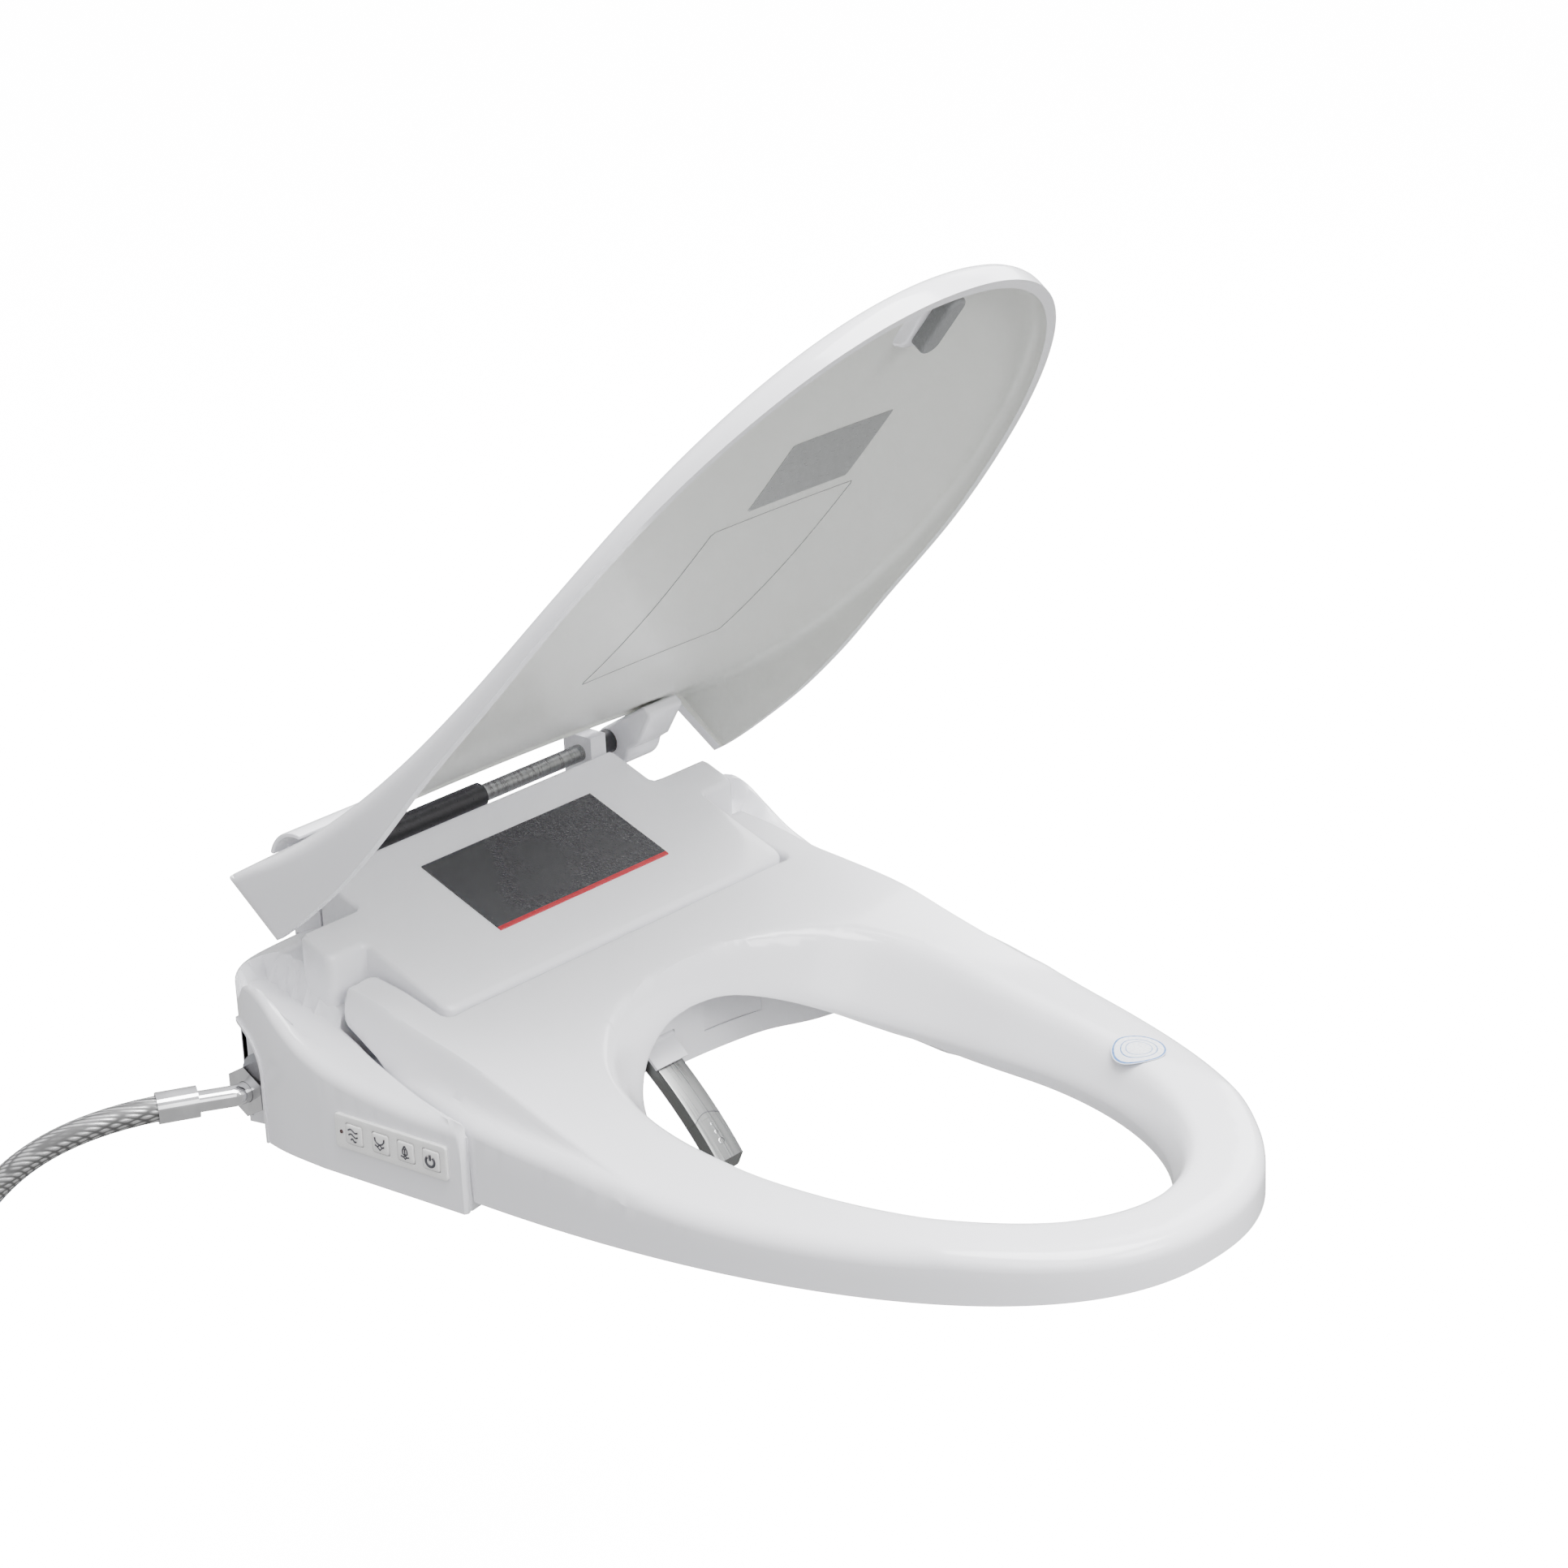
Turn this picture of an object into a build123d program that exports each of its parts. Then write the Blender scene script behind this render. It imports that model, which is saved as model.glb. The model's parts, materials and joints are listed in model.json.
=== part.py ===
from build123d import *
import os
from math import cos, degrees, radians, sin, tan

# Electric bidet seat, in millimetres. The origin is midway between the two bowl bolts, on the face that
# rests on the bowl's rim. +Z is up, -Y is the front of the seat, and -X is the sitter's right-hand side,
# which carries the push buttons and the water inlet.

os.makedirs("parts", exist_ok=True)

# ---------------------------------------------------------------- driving dimensions
WALL = 3.0                     # moulded wall thickness
GAP = 1.5                      # open gap between neighbouring mouldings

# housing
BASE_FRONT_Y = -155.0          # front end of the side wings
BASE_FRONT_X = 184.2
BASE_WIDE_Y = -57.0
BASE_WIDE_X = 192.0
BASE_REAR_Y = 47.0
TRAY_T = 2.5                   # floor of the bottom tray
BAY_FLOOR_Z = 43.5             # top of the housing under the seat
TONGUE_FRONT = -95.2           # raised central cover
TONGUE_STEP = -34.8
TONGUE_NOTCH = -11.8
TONGUE_REAR = 20.0
TONGUE_NARROW = 131.0
TONGUE_WIDE = 157.0
TONGUE_LUG = 114.0             # half width between the lid's hinge lugs
TONGUE_SLOPE = 0.37
TONGUE_Z0 = 114.0              # height of the sloping top where y is 0

# seat
SEAT_A = 180.0                 # half width of the ring
SEAT_YC = -111.4
SEAT_B = 374.4
SEAT_N, SEAT_M = 2.14, 2.28
SEAT_BOTTOM = 5.8
DECK_BOTTOM = 45.2
ARM_REAR_X, ARM_REAR_Y = 159.5, -53.5
ARM_FRONT_X, ARM_FRONT_Y = 179.2, -158.0
ARM_INNER = 133.5
SEAT_HINGE = (-73.0, 73.0)     # y, z
HOLE_A = 101.6
HOLE_YC = -290.7
HOLE_B = 156.9
HOLE_FRONT_N, HOLE_REAR_N = 1.9, 2.96
HOLE_LIP_Z = 27.0
UNDER_X, UNDER_Y = 110.0, -172.0   # the seat's shallow middle reaches this far out and forwards

# lid
LID_A = 180.0
LID_YC = -117.8
LID_TIP = -477.6
LID_N, LID_M = 2.81, 2.09
LID_REAR_Y = 12.3
LID_REAR_IN = 6.3              # how much narrower the lid is at its rear end
LID_RIM = 7.0
LID_SKIN = 3.2
LID_HINGE = (31.6, 120.4)      # y, z
LID_OPEN = 51.8                # how far the lid stands open at rest, degrees
SHAFT_R = 5.0
LUGS = [(-141.0, -118.0), (124.0, 152.0)]   # the lid's two hinge lugs, from and to along x
LUG_R = 16.0
RUN = 0.06                     # radial running clearance

# nozzle
NOZZLE_X = -3.0
NOZZLE_W, NOZZLE_T = 20.0, 9.0
NOZZLE_R = 250.0
NOZZLE_EXIT = (-128.0, 3.0)    # y, z of its centreline where it leaves the housing
NOZZLE_DIP = 40.0              # how steeply it dips there, degrees
NOZZLE_OUT = 54.0              # length outside the housing
NOZZLE_TIP = 22.0
NOZZLE_IN = 58.0               # length inside

# mounting
BOLT_SPACING = 140.0
SLOT_R, SLOT_L = 4.25, 30.0
PLATE_T = 5.0

# hose
HOSE_D = 14.0
INLET_Y, INLET_Z = 5.0, 25.0


# ---------------------------------------------------------------- helpers
def save(node, *shapes):
    """Write one sub-part; several shapes are separate solids of one node."""
    solids = [s for shape in shapes for s in shape.solids()]
    export_step(solids[0] if len(solids) == 1 else Compound(children=solids), f"parts/{node}.step")


def block(x0, x1, y0, y1, z0, z1):
    return Pos((x0 + x1) / 2, (y0 + y1) / 2, (z0 + z1) / 2) * Box(x1 - x0, y1 - y0, z1 - z0)


def rod_x(y, z, r, x0, x1):
    return Pos((x0 + x1) / 2, y, z) * Rot(0, 90, 0) * Cylinder(r, x1 - x0)


def rod_y(x, z, r, y0, y1):
    return Pos(x, (y0 + y1) / 2, z) * Rot(90, 0, 0) * Cylinder(r, y1 - y0)


def rod_z(x, y, r, z0, z1):
    return Pos(x, y, (z0 + z1) / 2) * Cylinder(r, z1 - z0)


def both(shape):
    """The shape and its mirror image across the middle."""
    return [shape, mirror(shape, about=Plane.YZ)]


def side_prism(points, x0, x1):
    """A polygon in y and z, drawn out along x."""
    face = make_face(Polyline(*[(x0, y, z) for y, z in points], close=True))
    return extrude(face, amount=x1 - x0, dir=(1, 0, 0))


def side_curve_prism(points, z_low, x0, x1):
    """Everything between z_low and a smooth curve in y and z, drawn out along x."""
    top = Spline(*[(x0, y, z) for y, z in points])
    ends = [(x0, points[-1][0], z_low), (x0, points[0][0], z_low)]
    rest = Polyline(top @ 1, *ends, top @ 0)
    return extrude(make_face([top, *rest.edges()]), amount=x1 - x0, dir=(1, 0, 0))


def plan_prism(edges, z0, z1):
    """A closed outline at height z0, drawn up to z1."""
    return extrude(make_face(edges), amount=z1 - z0, dir=(0, 0, 1))


def arched(stations, low, half):
    """A block lofted along y through sections (y, edge height, middle height) with arched tops."""
    faces = []
    for y, z_edge, z_mid in stations:
        top = ThreePointArc((-half, y, z_edge), (0, y, z_mid), (half, y, z_edge))
        rest = Polyline((half, y, z_edge), (half, y, low), (-half, y, low), (-half, y, z_edge))
        faces.append(make_face([top, *rest.edges()]))
    return loft(faces, ruled=True)


def creased(stations, low, half):
    """A block lofted along y through sections (y, crease x, crease height, edge height)."""
    faces = []
    for y, x, z, z_edge in stations:
        line = [(-half, y, z_edge), (-x, y, z), (x, y, z)]
        line += [(half, y, z_edge), (half, y, low), (-half, y, low)]
        faces.append(make_face(Polyline(*line, close=True)))
    return loft(faces, ruled=True)


def steps(count):
    """Numbers from 0 to 1 that crowd towards 1, where an outline turns round its tip."""
    return [1 - (1 - i / count) ** 2 for i in range(count + 1)]


# ---------------------------------------------------------------- seat
def seat_outline(inset, z):
    """The seat's outline seen from above: two rear arms and a rounded ring."""
    a, b = SEAT_A - inset, SEAT_B - inset
    t0 = (SEAT_YC - ARM_FRONT_Y) / b
    right = []
    for s in steps(14):
        t = t0 + (1 - t0) * s
        right.append((a * max(1 - t ** SEAT_N, 0) ** (1 / SEAT_M), SEAT_YC - b * t, z))
    left = [(-x, y, z) for x, y, _ in reversed(right[:-1])]
    ring = Spline(*right, *left)
    inner, rear, deck = ARM_INNER + inset, ARM_REAR_Y - inset, TONGUE_FRONT - GAP - inset
    outer = ARM_REAR_X - inset
    arms = Polyline(ring @ 1, (-outer, rear, z), (-inner, rear, z), (-inner, deck, z),
                    (inner, deck, z), (inner, rear, z), (outer, rear, z), ring @ 0)
    return [ring, *arms.edges()]


def hole_outline(sides, front, rear, z):
    """The egg-shaped opening, grown by the given amounts."""
    a, y0, y1 = HOLE_A + sides, HOLE_YC - HOLE_B - front, HOLE_YC + HOLE_B + rear
    right = []
    for s in steps(8):
        right.append((a * max(1 - s ** HOLE_FRONT_N, 0) ** 0.5, HOLE_YC + (y0 - HOLE_YC) * s, z))
    back = []
    for s in steps(8)[1:]:
        back.append((a * max(1 - s ** HOLE_REAR_N, 0) ** 0.5, HOLE_YC + (y1 - HOLE_YC) * s, z))
    half = list(reversed(right)) + back
    other = [(-x, y, z) for x, y, _ in reversed(half[1:-1])]
    return [Spline(*half, *other, periodic=True)]


def seat_opening(grow):
    """The opening's straight wall and its sloping upper lip."""
    wall = plan_prism(hole_outline(grow, grow, grow, -10), -10, 120)
    low = make_face(hole_outline(grow, grow, grow, HOLE_LIP_Z - grow))
    high = make_face(hole_outline(grow + 45, grow + 32, grow + 13, HOLE_LIP_Z - grow + 50))
    return wall + loft([low, high])


SEAT_TOP = [(-40, 150, 94, 90), (-97, 146, 81, 64), (-137, 136, 69.5, 43.5), (-190, 132, 60, 41.5),
            (-250, 125, 53, 36), (-330, 115, 46.5, 30), (-410, 100, 41.5, 10), (-495, 80, 36.5, 2)]
FRONT_WALL = [(BASE_FRONT_X, BASE_FRONT_Y), (109, -143), (67, -126.5), (0, -120)]


def front_line(shift, z):
    """The concave front of the housing, seen from above, moved forwards by shift."""
    right = [(x, y - shift, z) for x, y in FRONT_WALL]
    left = [(-x, y, z) for x, y, _ in reversed(right[:-1])]
    return Spline(*right, *left)


def behind_front(shift, z0, z1):
    """Everything behind the housing's front line."""
    line = front_line(shift, z0)
    rest = Polyline(line @ 1, (-BASE_FRONT_X, 100, z0), (BASE_FRONT_X, 100, z0), line @ 0)
    return plan_prism([line, *rest.edges()], z0, z1)


def under_space(grow, z0, z1):
    """The space under the seat's rear half, where the housing stands and the nozzle comes out."""
    x, y = UNDER_X + grow, UNDER_Y - grow
    return behind_front(GAP + grow, z0, z1) + block(-x, x, y, -100, z0, z1)


def seat_block(inset):
    stations = [(y, x, z - inset, edge - inset) for y, x, z, edge in SEAT_TOP]
    body = creased(stations, -20, 200) & plan_prism(seat_outline(inset, -12), -12, 130)
    return body - seat_opening(inset)


def arm_undercut(drop):
    """The space under the arms' rear ends that lets them swing."""
    hy, hz = SEAT_HINGE
    low = [(-108, DECK_BOTTOM - drop), (-108, 0)]
    return side_prism([(hy + 25, 0), (hy + 25, hz), (hy + 18, hz - 8), *low], -200, 200)


def make_seat():
    hy, hz = SEAT_HINGE
    outside = seat_block(0)
    under = under_space(0, -15, DECK_BOTTOM)
    lower_limit = block(-250, 250, -600, 100, -20, SEAT_BOTTOM)
    shell = outside - under - lower_limit - arm_undercut(0)
    cavity = seat_block(WALL)
    boss = both(rod_x(hy, hz, 10, ARM_INNER, ARM_INNER + 20))
    shell = shell - cavity + (boss[0] & outside) + (boss[1] & outside)
    shell -= rod_x(hy, hz, 4.0, -ARM_INNER - 14, ARM_INNER + 14)
    plate = seat_block(WALL + 0.1)
    ring = plate & block(-250, 250, -600, 100, SEAT_BOTTOM, SEAT_BOTTOM + 2.5)
    ring -= under_space(0, 0, 20)
    step = plate & (under_space(2.5, SEAT_BOTTOM, DECK_BOTTOM + 2.5) - under_space(0, 0, 60))
    deck = plate & block(-250, 250, -600, -110, DECK_BOTTOM, DECK_BOTTOM + 2.5) & under_space(0, 20, 60)
    lower = ring + step + deck
    heater = seat_block(WALL + 0.2) - seat_block(WALL + 1.7)
    heater &= block(-250, 250, -470, -175, SEAT_BOTTOM + 4, 120)
    heater -= step
    return shell, lower, heater


def rise(y):
    """The tongue's sloping top."""
    return TONGUE_Z0 + TONGUE_SLOPE * y


def make_seat_bumpers():
    pads = []
    for x, y, turn in [(140, -250, 90), (98, -398, 52)]:
        pad = extrude(SlotOverall(34, 12), SEAT_BOTTOM / 2, both=True)
        pads += both(Pos(x, y, SEAT_BOTTOM / 2) * Rot(0, 0, turn) * pad)
    return pads


def make_seat_sticker():
    disc = rod_z(108, -360, 14, 20, 80)
    return disc & (seat_block(-0.4) - seat_block(0))


seat_shell, seat_lower, seat_heater = make_seat()
save("seat_upper_shell", seat_shell)
save("seat_lower_shell", seat_lower)
save("seat_heater_mat", seat_heater)
save("seat_bumpers", *make_seat_bumpers())
save("seat_sticker", make_seat_sticker())
seat_y, seat_z = SEAT_HINGE
save("seat_hinge_pins", *both(rod_x(seat_y, seat_z, 4.0, 126, ARM_INNER + 14)))


# ---------------------------------------------------------------- lid, drawn closed and then opened
LID_TOP = [(22, 127.5, 134), (-10, 114.5, 120.5), (-30, 105.8, 111.8), (-60, 94.8, 101), (-100, 82.6, 88.6),
           (-157, 69.6, 75.6), (-215, 60.8, 66.5), (-300, 54.2, 59.6), (-390, 52, 57), (-490, 50.8, 55)]
LID_BOTTOM = [(-495, 38.8), (-400, 41.5), (-315, 43.8), (-230, 47.3), (-157, 53.5), (-100, 57.5),
              (-60, 62.8), (-30, 69), (0, 76.5), (22, 83.5)]


def opened(shape):
    """The lid's parts, turned up from the closed lid they are drawn on."""
    return shape.rotate(Axis((0, *LID_HINGE), (-1, 0, 0)), LID_OPEN)


def lid_outline(inset, rear, z):
    a, b = LID_A - inset, LID_YC - LID_TIP - inset
    right = [(a - LID_REAR_IN, rear, z), (a - LID_REAR_IN / 4, (rear + LID_YC) / 2, z)]
    for s in steps(14):
        right.append((a * max(1 - s ** LID_N, 0) ** (1 / LID_M), LID_YC - b * s, z))
    left = [(-x, y, z) for x, y, _ in reversed(right[:-1])]
    line = Spline(*right, *left)
    return [line, Line(line @ 1, line @ 0)]


def lid_block(inset, drop, rear):
    stations = [(y, edge - drop, middle - drop) for y, edge, middle in LID_TOP]
    return arched(stations, 20, 195) & plan_prism(lid_outline(inset, rear, 25), 25, 160)


def make_lid():
    hy, hz = LID_HINGE
    shell = lid_block(0, 0, LID_REAR_Y) - lid_block(LID_RIM, LID_SKIN, LID_REAR_Y + 8)
    shell -= side_curve_prism(LID_BOTTOM, 0, -250, 250)
    side = [(-8, 107), (20, 103.5), (31, 106), (31, 126), (12, 122), (-8, 113)]
    for x0, x1 in LUGS:
        lug = rod_x(hy, hz, LUG_R, x0, x1) & block(x0, x1, 0, 60, 90, 130)
        shell += lug + side_prism(side, x0, x1)
    shell -= rod_x(hy, hz, SHAFT_R + RUN, -180, 180)
    under_skin = lid_block(LID_RIM - 0.5, LID_SKIN - 0.5, LID_REAR_Y)
    post = block(-7, 23, -466, -428, 48.5, 80) & under_skin
    return shell + post


def make_lid_sticker():
    patch = block(-31, 43, -361, -309, 40, 80)
    return patch & (lid_block(LID_RIM, LID_SKIN, 0) - lid_block(LID_RIM, LID_SKIN + 0.3, 0))


def make_lid_bumper():
    pad = extrude(Pos(8, -447, 40.6) * Rot(0, 0, 90) * SlotOverall(38, 13), 7.9)
    return fillet(pad.edges().group_by(Axis.Z)[0], 2.0)


save("lid_shell", opened(make_lid()))
save("lid_sticker", opened(make_lid_sticker()))
save("lid_bumper", opened(make_lid_bumper()))


# ---------------------------------------------------------------- housing
CREST = [(-168, 50.5), (-140, 50), (-118, 50.8), (-98, 53), (-79, 56), (-60, 60.5), (-43, 67.5), (-28, 77.5),
         (-14, 88), (4, 92.5), (26, 87), (52, 77)]
RIM_TROUGH = [(-66, 59.5), (-30, 67.2), (0, 74.8), (16, 79.5), (16, 140), (-66, 140)]


def housing_outline(inset, z):
    """The housing seen from above: straight sides, rounded rear corners and a concave front."""
    side = [(BASE_FRONT_X - inset, BASE_FRONT_Y + inset, z), (BASE_WIDE_X - inset, BASE_WIDE_Y, z)]
    front = front_line(-inset, z)
    rear = [(BASE_WIDE_X - inset, BASE_WIDE_Y, z), (190.5 - inset, -18, z), (179 - inset, 17, z),
            (150, 36.5 - inset, z), (90, 44.5 - inset, z), (0, BASE_REAR_Y - inset, z)]
    other = [(-x, y, z) for x, y, _ in reversed(rear[:-1])]
    back = Spline(*rear, *other, tangents=[(-0.08, 1, 0), (-0.08, -1, 0)])
    return [front, Line(front @ 1, (-side[1][0], side[1][1], z)), back, Line(back @ 0, front @ 0)]


def bay(grow, z0):
    """The space for the seat's arms and deck, open above."""
    rear, front = -39 + grow, -175
    slope = (ARM_FRONT_X - ARM_REAR_X) / (ARM_REAR_Y - ARM_FRONT_Y)
    x_rear = ARM_REAR_X + GAP + grow + slope * (ARM_REAR_Y - rear)
    x_front = ARM_REAR_X + GAP + grow + slope * (ARM_REAR_Y - front)
    right = [(x_rear, rear, z0), (x_front, front, z0)]
    line = Polyline(*right, (-x_front, front, z0), (-x_rear, rear, z0), close=True)
    return plan_prism(line, z0, 140)


def tongue(inset):
    steps_back = [(TONGUE_FRONT, TONGUE_REAR, TONGUE_LUG), (TONGUE_FRONT, TONGUE_NOTCH, TONGUE_NARROW),
                  (TONGUE_STEP, TONGUE_NOTCH, TONGUE_WIDE)]
    parts = []
    for front, rear, half in steps_back:
        y0, y1 = front + inset, rear - inset
        line = [(y0, 30), (y0, rise(y0) - inset), (y1, rise(y1) - inset), (y1, 30)]
        parts.append(side_prism(line, inset - half, half - inset))
    return parts[0] + parts[1] + parts[2]


def trough(grow):
    line = [(y - grow if y < 0 else y + grow, z - grow) for y, z in RIM_TROUGH]
    x0, x1 = TONGUE_WIDE + 1.5 - grow, 181.5 + grow
    cut = side_prism(line, x0, x1)
    return cut + mirror(cut, about=Plane.YZ)


BOSSES = [(171, -128), (180, -60), (112, 24)]   # screw bosses, mirrored
BOSS_Z = 4.5


def make_top_cover():
    crest = side_curve_prism(CREST, -5, -250, 250)
    wings = (plan_prism(housing_outline(0, 0), 0, 110) & crest) - bay(0, BAY_FLOOR_Z) - trough(0)
    lower_crest = side_curve_prism([(y, z - WALL) for y, z in CREST], -5, -250, 250)
    inside = (plan_prism(housing_outline(WALL, -1), -1, 110) & lower_crest)
    inside = inside - bay(WALL, BAY_FLOOR_Z - WALL) - trough(WALL)
    outside = wings + tongue(0)
    cover = outside - (inside + tongue(WALL))
    cover -= inlet_recess() + nozzle_opening() + dryer_opening()
    cover += inlet_wall()
    for x, y in BOSSES:
        post = rod_z(x, y, 5, BOSS_Z, 120) & outside
        cover = cover + post + mirror(post, about=Plane.YZ)
        hole = rod_z(x, y, 1.75, -5, 16)
        cover -= hole + mirror(hole, about=Plane.YZ)
    cover -= rod_x(seat_y, seat_z, 4.0 + RUN, -ARM_INNER, ARM_INNER)
    cover -= rod_x(SHUTTER_Y, SHUTTER_Z, SHUTTER_PIN, NOZZLE_X - 16, NOZZLE_X + 16)
    cover -= dryer_pin() + rod_y(GLAND_X, GLAND_Z, 7, 30, 60)
    for along in BUTTONS:
        cover -= on_panel(along, BUTTON_UP, BUTTON + 0.6, BUTTON + 0.6, -10, 5)
    brackets = []
    for bracket in both(block(100, 112, 22, 44, 60, 131)):
        brackets.append(bracket - outside - rod_x(*LID_HINGE, SHAFT_R, -200, 200))
    return cover, brackets


def inlet_recess():
    """An arched recess in the rear corner, where the hose screws on."""
    return block(-260, -172, -9.8, 60, -5, 38) + rod_x(12.2, 38, 22, -260, -172)


def inlet_wall():
    """The recess's inner wall."""
    arch = block(-172, -169, -12.8, 60, 0, 38) + rod_x(12.2, 38, 25, -172, -169)
    wall = arch & plan_prism(housing_outline(0.2, 0), 0, 110)
    return wall - rod_x(INLET_Y, INLET_Z, 10.6, -180, -160)


# nozzle opening and its shutter's hinge
SHUTTER_Y, SHUTTER_Z, SHUTTER_PIN = -118.9, 20.0, 0.9
SHUTTER_LEN, SHUTTER_REST = 15.0, 47.0


def nozzle_opening():
    return block(NOZZLE_X - 13, NOZZLE_X + 13, -135, -112, -5, 22.6)


# warm-air outlet and its flap's hinge
DRYER_X0, DRYER_X1, DRYER_Z0, DRYER_Z1 = 32.0, 72.0, 13.0, 35.0
DRYER_PIN_Z, DRYER_PIN = 31.8, 0.8
DRYER_PIN_A, DRYER_PIN_B = (29.0, -119.85), (75.0, -126.9)


def dryer_opening():
    return block(DRYER_X0, DRYER_X1, -135, -112, DRYER_Z0, DRYER_Z1)


def dryer_rod(r):
    """A rod along the outlet flap's hinge line."""
    (x0, y0), (x1, y1) = DRYER_PIN_A, DRYER_PIN_B
    middle = ((x0 + x1) / 2, (y0 + y1) / 2, DRYER_PIN_Z)
    length = ((x1 - x0) ** 2 + (y1 - y0) ** 2) ** 0.5
    return Plane(origin=middle, z_dir=(x1 - x0, y1 - y0, 0)) * Cylinder(r, length)


def dryer_pin():
    return dryer_rod(DRYER_PIN)


# push-button panel, on the straight part of the right-hand side
PANEL_Y, PANEL_Z = -69.0, 17.0       # its rear lower corner
PANEL_LONG, PANEL_HIGH, PANEL_T = 77.0, 19.5, 1.8
BUTTON, BUTTON_UP, BUTTON_PROUD = 11.5, 9.75, 0.8
BUTTONS = [13.7, 32.0, 49.4, 66.7]   # distances from the panel's rear end
SIDE_SLOPE = (BASE_WIDE_X - BASE_FRONT_X) / (BASE_WIDE_Y - BASE_FRONT_Y)
PANEL = Plane(origin=(-BASE_WIDE_X - SIDE_SLOPE * (PANEL_Y - BASE_WIDE_Y), PANEL_Y, PANEL_Z),
              x_dir=(SIDE_SLOPE, -1, 0), z_dir=(-1, -SIDE_SLOPE, 0))
GLAND_X, GLAND_Z = 60.0, 28.0


def on_panel(along, up, long, high, n0, n1):
    """A block on the side panel, from n0 to n1 outwards from the housing's side."""
    return PANEL * Pos(along, up, (n0 + n1) / 2) * Box(long, high, n1 - n0)


def make_tray():
    floor = plan_prism(housing_outline(WALL + 0.3, 0), 0, TRAY_T)
    x, y0, y1 = POCKET
    hump = block(-x - 2.5, x + 2.5, y0 - 2.5, y1 + 2.5, 0, POCKET_Z + 2.5)
    tray = floor + hump - block(-x, x, y0, y1, -1, POCKET_Z)
    for bx, by in BOSSES:
        pad = rod_z(bx, by, 7, 0, BOSS_Z) - rod_z(bx, by, 3.8, -1, 2.4) - rod_z(bx, by, 1.9, -1, 9)
        hole = rod_z(bx, by, 3.8, -1, 9)
        for one_pad, one_hole in zip(both(pad), both(hole)):
            tray = tray - one_hole + one_pad
    tray &= plan_prism(housing_outline(WALL + 0.3, 0), 0, 60)
    tray -= block(-260, -168.7, -13.1, 60, -1, 5) + nozzle_opening()
    tray -= block(90, 97, LATCH_Y - 6.3, LATCH_Y + 6.3, TRAY_T, 9.2)
    tray -= block(LATCH_GRIP - 5.3, LATCH_GRIP + 5.3 + LATCH_TRAVEL, LATCH_Y - 5.3, LATCH_Y + 5.3, -1, 4)
    return tray


# mounting plate and its pocket
POCKET = (92.0, -47.0, 40.0)         # half width, front, rear
POCKET_Z = 14.0
LATCH_Y, LATCH_GRIP, LATCH_TRAVEL = -14.0, 112.0, 5.0


def make_plate():
    x, y0, y1 = POCKET
    plate = block(-x, x, y0 + 0.4, y1 - 0.4, 0, PLATE_T)
    slot = Pos(0, 0, -1) * extrude(SlotOverall(SLOT_L + 2 * SLOT_R, 2 * SLOT_R), 8)
    for side in (-1, 1):
        plate -= Pos(side * BOLT_SPACING / 2, 0, 0) * slot
    plate -= block(85.6, 100, LATCH_Y - 6.3, LATCH_Y + 6.3, -1, 8)
    return plate


def make_latch():
    bolt = block(86, 120, LATCH_Y - 6, LATCH_Y + 6, TRAY_T + 0.3, 8.9)
    return bolt + block(LATCH_GRIP - 5, LATCH_GRIP + 5, LATCH_Y - 5, LATCH_Y + 5, 0.4, 5)


def make_screw(x, y):
    head = rod_z(x, y, 3.5, 0.4, 2.4) - block(x - 2.5, x + 2.5, y - 0.5, y + 0.5, 0, 1.2)
    return head + rod_z(x, y, 1.7, 2.4, 14)


cover, brackets = make_top_cover()
save("top_cover", cover)
save("hinge_brackets", *brackets)
save("base_tray", make_tray())
save("mounting_plate", make_plate())
save("plate_latch", make_latch())
save("housing_screws", *[s for x, y in BOSSES for s in (make_screw(x, y), make_screw(-x, y))])
save("mains_gland", rod_y(GLAND_X, GLAND_Z, 7, 38, 49) + rod_y(GLAND_X, GLAND_Z, 10, 46.6, 49)
     - rod_y(GLAND_X, GLAND_Z, 4, 30, 60))

# label on the sloping top
LABEL_X, LABEL_HALF, LABEL_Y0, LABEL_Y1 = 5.5, 65.6, -63.4, -4.2


def on_top(x0, x1, y0, y1, t):
    """A thin plate on the tongue's sloping top."""
    return side_prism([(y0, rise(y0)), (y1, rise(y1)), (y1, rise(y1) + t), (y0, rise(y0) + t)], x0, x1)


save("label_plate", on_top(LABEL_X - LABEL_HALF, LABEL_X + LABEL_HALF, LABEL_Y0 + 2.2, LABEL_Y1, 0.8))
save("label_stripe", on_top(LABEL_X - LABEL_HALF, LABEL_X + LABEL_HALF, LABEL_Y0, LABEL_Y0 + 2.2, 0.8))


# ---------------------------------------------------------------- push buttons
def make_panel():
    panel = on_panel(PANEL_LONG / 2, PANEL_HIGH / 2, PANEL_LONG, PANEL_HIGH, 0, PANEL_T)
    for along in BUTTONS:
        panel -= on_panel(along, BUTTON_UP, BUTTON + 0.6, BUTTON + 0.6, -1, 5)
    return panel


def make_button(along):
    cap = on_panel(along, BUTTON_UP, BUTTON, BUTTON, -5.3, PANEL_T + BUTTON_PROUD)
    return cap + on_panel(along, BUTTON_UP, BUTTON + 3, BUTTON + 3, -4.5, -3.3)


def make_panel_board():
    board = on_panel(PANEL_LONG / 2, BUTTON_UP, 72, 15, -8.2, -6.7)
    for along in (23, 41):
        board += PANEL * Pos(along, BUTTON_UP, -4.85) * Cylinder(0.9, 3.7)
    return board


save("control_panel", make_panel())
save("panel_board", make_panel_board())
save("indicator_lens", PANEL * Pos(4.8, BUTTON_UP, PANEL_T + 0.15) * Cylinder(1.1, 0.3))
for name, along in zip(["front_wash", "rear_wash", "massage", "power"], BUTTONS):
    save(f"button_{name}", make_button(along))


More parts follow.
